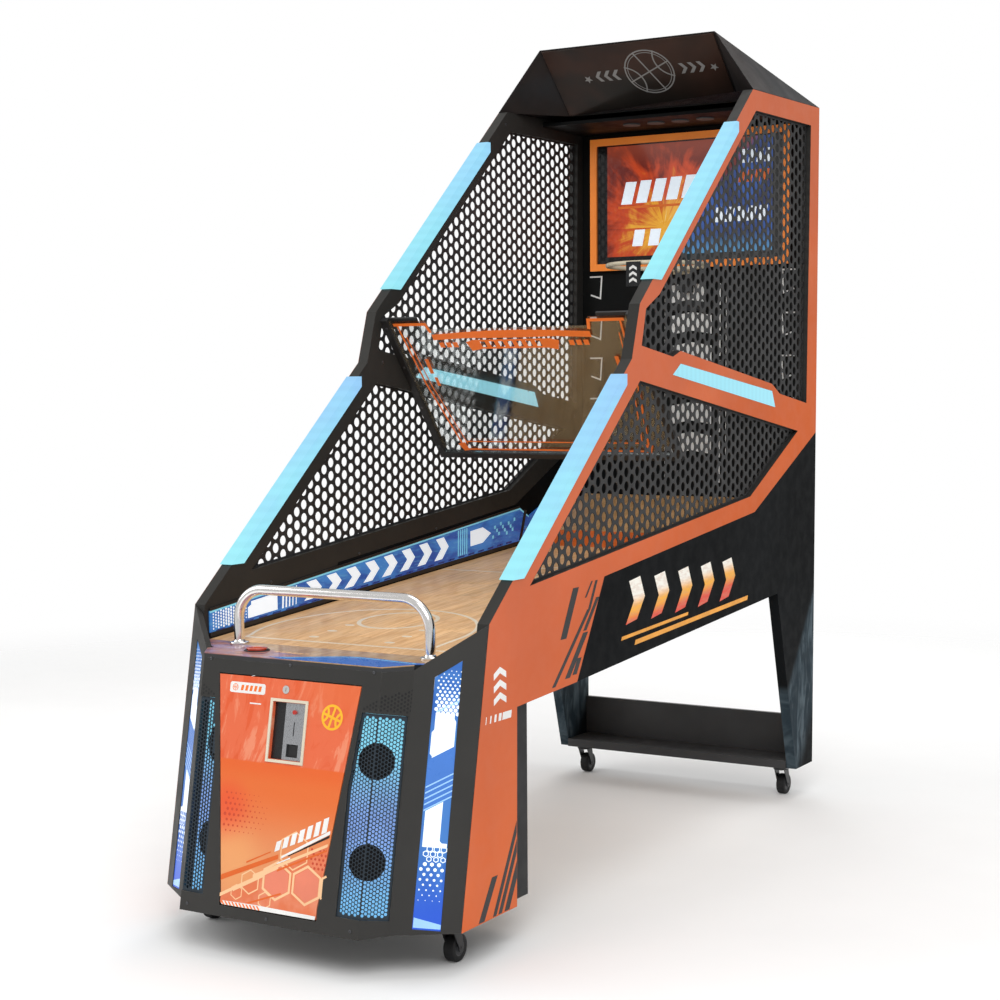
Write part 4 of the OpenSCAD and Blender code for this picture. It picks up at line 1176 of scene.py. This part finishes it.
# ---------------------------------------------------------------- banners
for label, s in SIDES:
    def at(y, v):
        """v runs 0 to 1 from the banner's foot to its head at distance back y."""
        low = 803 + (y - 345) * 0.0769
        high = 868 + (y - 345) * (1064 - 868) / (2125 - 345)
        return (y, low + (high - low) * v)

    def lean_bar(y, width, v0=0.14, v1=0.88, skew=14):
        return [at(y, v0), at(y + width, v0), at(y + width + skew, v1), at(y + skew, v1)]

    white, pale_blue, deep_blue = [], [], []
    for i in range(14):
        for j in range(6):
            y, v = 362 + i * 11.5, 0.16 + 0.13 * j + 0.065 * (i % 2)
            r = 4.6 - abs(i - 6) * 0.28
            white.append(disc(*at(y, v), r, 6, 0.3))
    white.append([at(520, 0.16), at(662, 0.16), at(662, 0.84), at(536, 0.84), at(536, 0.7), at(520, 0.62)])
    for k in range(5):
        white.append(lean_bar(684 + 17 * k, 8 - k, 0.14, 0.88, 4))
    for k in range(8):
        y = 796 + 106 * k
        white.append([at(y, 0.17), at(y + 50, 0.17), at(y + 92, 0.52), at(y + 62, 0.87), at(y + 12, 0.87),
                      at(y + 44, 0.52)])
    for k in range(5):
        pale_blue.append(lean_bar(1690 + 14 * k, 6, 0.1, 0.92, 3))
    white += [[at(1775, 0.3), at(1860, 0.3), at(1916, 0.52), at(1860, 0.78), at(1775, 0.78)]]
    for i in range(12):
        y, v = 1925 + 14 * i, 0.32 + 0.4 * ((i * 5) % 7) / 7
        pale_blue.append([at(y, v), at(y + 12, v), at(y + 12, v + 0.1), at(y, v + 0.1)])
    for k in range(26):
        y = 372 + 66 * k
        deep_blue.append([at(y, 0.03), at(y + 40, 0.03), at(y + 44, 0.085), at(y + 4, 0.085)])
    upper = []
    for k in range(6):
        y, z = 2240 + 60 * k, 992 + 21.5 * k
        upper.append([(y, z), (y + 22, z + 8), (y + 42, z + 54), (y + 18, z + 46)])
    edge_line = [(346, 869), (2125, 1065), (2190, 1031), (2190, 1025), (2124, 1058), (346, 862)]
    groups = [ink(white + upper, "lit_white", 0.25), ink(pale_blue, "sky", 0.25),
              ink(deep_blue, "navy", 0.25), ink([edge_line], "sky")]
    slab(f"banner_print_{label}", groups, inner_plane(s), BODY[f"banner_{label}"])
    # Dark trim along the banner's foot and head, and across its break
    trim = flat([[(347, 793), (347, 805), (2124, 941), (2124, 927)],
                 [(2118, 944), (2134, 938), (2176, 1052), (2158, 1056)],
                 [(347, 868), (347, 876), (2125, 1072), (2125, 1064)]])
    slab(f"banner_trim_{label}", [(trim, -3, 1.2, M["plastic"])], inner_plane(s), ROOT)

# ---------------------------------------------------------------- shield
fine_lines = []
for s in (-1, 1):
    fine_lines += stroke([(s * 410, 8), (s * 396, 250), (s * 352, 536)], 7)
    fine_lines += stroke([(s * 392, 60), (s * 376, 262), (s * 334, 512)], 4)
fine_lines += stroke([(-352, 536), (352, 536)], 7) + stroke([(-334, 502), (334, 502)], 5)
for s in (-1, 1):
    fine_lines += stroke([(s * 424, 10), (s * 300, 10), (s * 292, 44)], 11)
band = mirrored([(60, 40), (160, 44), (292, 52)], [(292, 74), (160, 68), (60, 70)])
lower_band = mirrored([(140, 76), (172, 84)], [(160, 120), (120, 112)])
blocks = [rect(a + 26 * k, 84, a + 26 * k + 18, 104) for a in (-276, 206) for k in range(3)]
marks = [rect(-360, 150, -346, 210), rect(-352, 226, -340, 262), rect(346, 150, 360, 210),
         rect(340, 226, 352, 262)]
corner_pads = [[(s * 372, 512), (s * 344, 506), (s * 336, 540), (s * 358, 544)] for s in (-1, 1)]
windows = [slash(-120 + 34 * k, 83, 18, 22, 4) for k in range(7)]
shield_art = fine_lines + [band, lower_band] + blocks + marks + corner_pads
slab("shield_lines", [ink(shield_art, "orange", 3.4, 3.05, windows)], shield_plane,
     BODY["shield_panel"])

# ---------------------------------------------------------------- back wall
ticks = []
for k in range(5):
    z = 1858 - 158 * k
    for s in (-1, 1):
        points = [(s * 430, z + 84), (s * 404, z + 84), (s * 378, z + 84), (s * 384, z), (s * 426, z + 14)]
        ticks += stroke(points, 6)
chevrons = [chevron(9, 1712 - 114 * k, 84, 14, 70) for k in range(5)]
rails = [rect(x - 3, z - 80, x + 3, z) for x in (-101, 127) for z in range(1900, 1180, -96)]
rails.append(rect(152, 1240, 155, 1860))
bracket_gap = [rect(-76, 1799, 76, 1949)]
slab("wall_print", [ink(ticks + chevrons + rails, "white", holes=bracket_gap)], wall_plane,
     BODY["back_panel"])
bracket_band = [(-73, 1830), (4, 1842), (73, 1832), (73, 1898), (4, 1911), (-73, 1896)]
slab("bracket_print", [ink([bracket_band], "white")],
     front_facing(2620), BODY["hoop_bracket"])

# ---------------------------------------------------------------- marquee, screen and rim plate
mark = ball_outline(50, 134, 92, 5, -24) + stroke(arc(50, 134, 82, 0, 360, 40)[:-1], 2.5, True)
for k in range(3):
    for s in (-1, 1):
        a = 50 + s * (118 + 34 * k)
        mark.append([(a, 112), (a + s * 14, 112), (a + s * 30, 134), (a + s * 14, 156), (a, 156),
                     (a + s * 16, 134)])
mark += [star(-198, 142, 17), star(298, 142, 17)]
slab("marquee_print", [ink(mark, "grey")], marquee_plane, BODY["marquee_panel"])
glare = [slash(-284 + 64 * k, 2212 + 3 * k, 46, 84, 22) for k in range(5)]
score = [slash(214 + 32 * k, 2338, 22, 50, 8) for k in range(4)]
score += [slash(108 + 44 * k, 2126, 32, 54, 10) for k in range(5)]
pair = [slash(-236, 2052, 44, 62, 12), slash(-168, 2052, 44, 62, 12)]
gauge = [slash(-296, 2196, 350, 9, 0)] + [slash(206 + 32 * k, 2268, 22, 44, 8) for k in range(4)]
slab("screen_marks", [ink(glare + score + pair, "lit_white", 0.25), ink(gauge, "orange", 0.25)],
     screen_plane, BODY["monitor"])
lo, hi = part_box("rim_plate")
plate_marks = [chevron(0, lo.z * 1000 - LIFT + 12 + 22 * k, 15, 9, 10) for k in range(3)]
slab("rim_plate_marks", [ink(plate_marks, "white", 0.4)],
     front_facing((lo.y - cad_lo.y) * 1000), BODY["rim_plate"])

# ---------------------------------------------------------------- grab bar, button, wheels and fixings
bm = bmesh.new()
bar_z, bend, half, bar_y, radius = 787 + 158, 88, 325, 315, 14.5
path = [(-half, z) for z in (787.2, 800, 820, bar_z - bend)]
for k in range(1, 14):
    t = math.pi / 2 * k / 14
    path.append((-half + bend - bend * math.cos(t), bar_z - bend + bend * math.sin(t)))
path += [(x, bar_z) for x in (-half + bend, -120, 0)]
path += [(-x, z) for x, z in path[-2::-1]]
tube(bm, [datum(x, bar_y, z) for x, z in path], radius / 1000, 32)
FLANGE = [(0, 0.15), (28, 0.15), (28, 3.4), (26.6, 5), (18, 6), (15.6, 9), (14.6, 12), (0, 12)]
for s in (-1, 1):
    lathe(bm, FLANGE, datum(s * half, bar_y, 787), (0, 0, 1), 40)
grab = make("grab_bar_tube", bm, [M["chrome"]], BODY["grab_bar"], 40)
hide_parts("grab_bar")

g = Nodes("start_button_lens")
ring_d = g.length(g.vec(g.plus(g.x, 0.190), g.minus(g.y, 0.225), 0.0))
lens = g.mix(g.ramp(ring_d, 0.004, 0.026), rgb(222, 96, 48), rgb(176, 56, 28))
M["button"] = g.end(g.surface(lens, g.cloud(60, 3, 0.12, 0.24), 0, 0.5, 0.5,
                              g.bump(g.noise(500, 2), 0.03, 0.0003), lens, 0.18))
bm = bmesh.new()
seat = datum(-190, 225, 787)
lathe(bm, [(0, -20), (26, -20), (26, 5.8), (29.4, 6.0), (29.9, 6.6), (29.0, 7.4), (24, 8.8), (16, 10.1),
           (8, 10.8), (0, 11)], seat, (0, 0, 1), 48)
button = make("start_button_dome", bm, [M["button"]], BODY["start_button"], 40)
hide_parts("start_button")
bm = bmesh.new()
lathe(bm, [(30.6, 0.1), (36, 0.1), (36, 1.4), (35, 2.4), (31.4, 2.8), (30.6, 2.2), (30.6, 0.1)], seat,
      (0, 0, 1), 48)
make("start_button_bezel", bm, [M["plastic"]], BODY["front_ledge"], 40)

for node in (f"wheel_{end}_{label}" for end in ("front", "rear") for label, s in SIDES):
    lo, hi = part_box(node)
    centre, r, w = (lo + hi) / 2, (hi.z - lo.z) * 500, (hi.x - lo.x) * 500
    bm = bmesh.new()
    side = [(4.2, -w), (9, -w), (9.6, -w + 1), (11, -w + 3), (19, -w + 3.4), (22, -w + 1), (25, -w),
            (r - 3.6, -w), (r - 1.2, -w + 1.6), (r - 0.1, -w + 5), (r, -w + 9)]
    lathe(bm, side + [(q, -h) for q, h in side[::-1]] + side[:1], centre, (1, 0, 0), 56)
    wheel = make(f"tyre_{node}", bm, [M["rubber"], M["hub"]], BODY[node], 35)
    for p in wheel.data.polygons:
        c = wheel.matrix_world @ p.center
        if math.hypot(c.y - centre.y, c.z - centre.z) < 0.0225:
            p.material_index = 1
    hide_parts(node)


def fixings(name, spots, radius, mat, body, above=0):
    """Socket-head buttons: each spot is (place function, a, b)."""
    bm = bmesh.new()
    head = [(0, -1), (radius, -1), (radius, 0.5), (radius * 0.92, 1.3), (radius * 0.62, 2.0),
            (radius * 0.42, 2.1), (radius * 0.40, 1.0), (0, 1.0)]
    for place, a, b in spots:
        base, tip = place(a, b, above), place(a, b, above + 10)
        lathe(bm, head, base, tip - base, 18)
    return make(name, bm, [mat], body, 35)


INNER_SCREWS = ((640, 925), (1100, 975), (1560, 1025), (1250, 1595), (1560, 1240), (2200, 1500),
                (2560, 1400), (2050, 2460))
DOOR_SCREWS = ((-272, 690), (272, 690), (0, 690), (-272, 20), (272, 20), (0, 14))
for label, s in SIDES:
    inner = inner_plane(s, 463)
    fixings(f"inner_screws_{label}", [(inner, a, b) for a, b in INNER_SCREWS], 5.0, M["screw"], ROOT)
    bolts = [(shield_plane, s * 450, v) for v in (20, 180, 350, 520)]
    fixings(f"shield_bolts_{label}", bolts, 5, M["screw"], ROOT, 10)
fixings("door_frame_screws", [(door_plane, a, b) for a, b in DOOR_SCREWS], 4.5, M["screw"], ROOT)
flange_screws = [(ledge_plane, s * 325 + 21.5 * math.cos(t), 315 + 21.5 * math.sin(t))
                 for s in (-1, 1) for t in (0.6, 2.7, 4.7)]
fixings("flange_screws", flange_screws, 3.4, M["bright_screw"], BODY["grab_bar"], 4.4)

# ---------------------------------------------------------------- the rear face
SERVICE = BODY["service_door"]
# The service door's vent slots are painted shade: black slots where the openings are
vent_slot_shade = []
for z in (2385, 2030):
    for k in range(9):
        for col in (-1, 1):
            vent_slot_shade.append(rect(col * 170 - 118, z - 14 * k + 40, col * 170 + 118, z - 14 * k + 46))
slab("service_vents", [ink(vent_slot_shade, "black", 0.3, -2.0)], service_plane, SERVICE)
bm = bmesh.new()
lathe(bm, [(0, -12), (14, -12), (14, 0.3), (13.4, 0.9), (9, 0.9), (8.6, 0.4), (0, 0.4)],
      service_plane(355, 2195), (0, 1, 0), 40)
make("service_lock", bm, [M["chrome"]], SERVICE, 35)
rear_screws = [(rear_plane, a, b) for a in (-448, 448) for b in (800, 1080, 1400, 1720, 1860)]
rear_screws += [(rear_plane, a, b) for a in (-220, 0, 220) for b in (800, 1860)]
fixings("rear_screws", rear_screws, 5, M["screw"], ROOT)
sockets = [rect(166, 900, 214, 934), rect(232, 900, 272, 934)]
pins = [rect(176, 908, 181, 925), rect(188, 914, 193, 931), rect(200, 908, 205, 925)]
knobs = [disc(190, 962, 9, 24), disc(250, 962, 9, 24)]
slab("power_plate", [ink([inset(rect(150, 880, 290, 990), -4)], "zinc", 1.6), ink(sockets, "plastic", 5, 1.7),
                     ink(pins, "black", 5.4, 5.02), ink(knobs, "plastic", 6, 1.7)],
     rear_plane, ROOT)
# The black bars on the louvre plates are painted shade in the gaps of the louvres
louvre_gap_shade = [rect(a, 1180 + 18 * k, a + 240, 1188 + 18 * k) for a in (-300, 60) for k in range(14)]
louvre_plates = [rect(-320, 1160, -40, 1444), rect(40, 1160, 320, 1444)]
slab("rear_louvres", [ink(louvre_plates, "frame_dark", 1.5), ink(louvre_gap_shade, "black", 2.0, 1.52)],
     rear_plane, ROOT)

# ---------------------------------------------------------------- floor, light and camera
g = Nodes("floor_paint")
away = g.length(g.stretch(1, 1, 0))
pale_floor = g.shade(rgb(248, 248, 248), g.cloud(1.5, 3, 0.99, 1.01))
diffuse = g.surface(pale_floor, g.cloud(60, 3, 0.75, 0.85), 0, 0.1, 0, g.bump(g.noise(220, 2), 0.03, 0.0005))
clear = g.add("BsdfTransparent", ins={0: (1, 1, 1, 1)})
floor_mat = g.end(g.add("MixShader", ins={0: g.ramp(away, 3.4, 6.8), 1: diffuse, 2: clear}))
bm = bmesh.new()
bmesh.ops.create_circle(bm, cap_ends=True, radius=7.2, segments=96)
mesh = bpy.data.meshes.new("studio_floor")
bm.to_mesh(mesh)
bm.free()
mesh.materials.append(floor_mat)
floor = bpy.data.objects.new("studio_floor", mesh)
collection.objects.link(floor)

world = bpy.data.worlds.new("studio")
scene.world = world
world.use_nodes = True
tree = world.node_tree
tree.nodes.clear()
out = tree.nodes.new("ShaderNodeOutputWorld")
pick = tree.nodes.new("ShaderNodeMixShader")
seen = tree.nodes.new("ShaderNodeBackground")
seen.inputs[0].default_value = (1, 1, 1, 1)
seen.inputs[1].default_value = 1.0
lit = tree.nodes.new("ShaderNodeBackground")
lit.inputs[0].default_value = (1.0, 0.995, 0.985, 1)
lit.inputs[1].default_value = 0.62
path_info = tree.nodes.new("ShaderNodeLightPath")
tree.links.new(path_info.outputs["Is Camera Ray"], pick.inputs[0])
tree.links.new(lit.outputs[0], pick.inputs[1])
tree.links.new(seen.outputs[0], pick.inputs[2])
tree.links.new(pick.outputs[0], out.inputs[0])


def soft_box(name, where, target, size, watts):
    light = bpy.data.lights.new(name, "AREA")
    light.shape, light.size, light.energy = "DISK", size, watts
    obj = bpy.data.objects.new(name, light)
    obj.location = where
    obj.rotation_mode = "QUATERNION"
    obj.rotation_quaternion = (Vector(target) - Vector(where)).to_track_quat("-Z", "Y")
    collection.objects.link(obj)


soft_box("key_light", (3.2, -4.2, 5.2), (0, 0, 1.0), 4.5, 190)
soft_box("fill_light", (-4.6, -2.6, 3.4), (0, 0, 1.0), 4.0, 80)
soft_box("top_light", (0.5, 0.6, 6.0), (0, 0, 1.0), 4.0, 80)
soft_box("rear_light", (-1.5, 5.5, 3.8), (0, 0, 1.2), 4.0, 90)

EYE_AT = (2.9497, -5.0142, 1.4976 + LIFT / 1000)
azimuth, elevation, roll = (math.radians(v) for v in (29.658, 6.0756, -0.268))
level = math.cos(elevation)
back = Vector((math.sin(azimuth) * level, -math.cos(azimuth) * level, math.sin(elevation)))
right = (-back).cross(Vector((0, 0, 1))).normalized()
up = right.cross(-back)
right, up = right * math.cos(roll) + up * math.sin(roll), up * math.cos(roll) - right * math.sin(roll)
camera = bpy.data.cameras.new("camera")
camera.sensor_width, camera.lens = 36.0, 64.81
camera.shift_x, camera.shift_y = -0.0444, 0.0829
eye = bpy.data.objects.new("camera", camera)
eye.matrix_world = Matrix.Translation(EYE_AT) @ Matrix((right, up, back)).transposed().to_4x4()
collection.objects.link(eye)
scene.camera = eye
scene.view_settings.view_transform = "Standard"
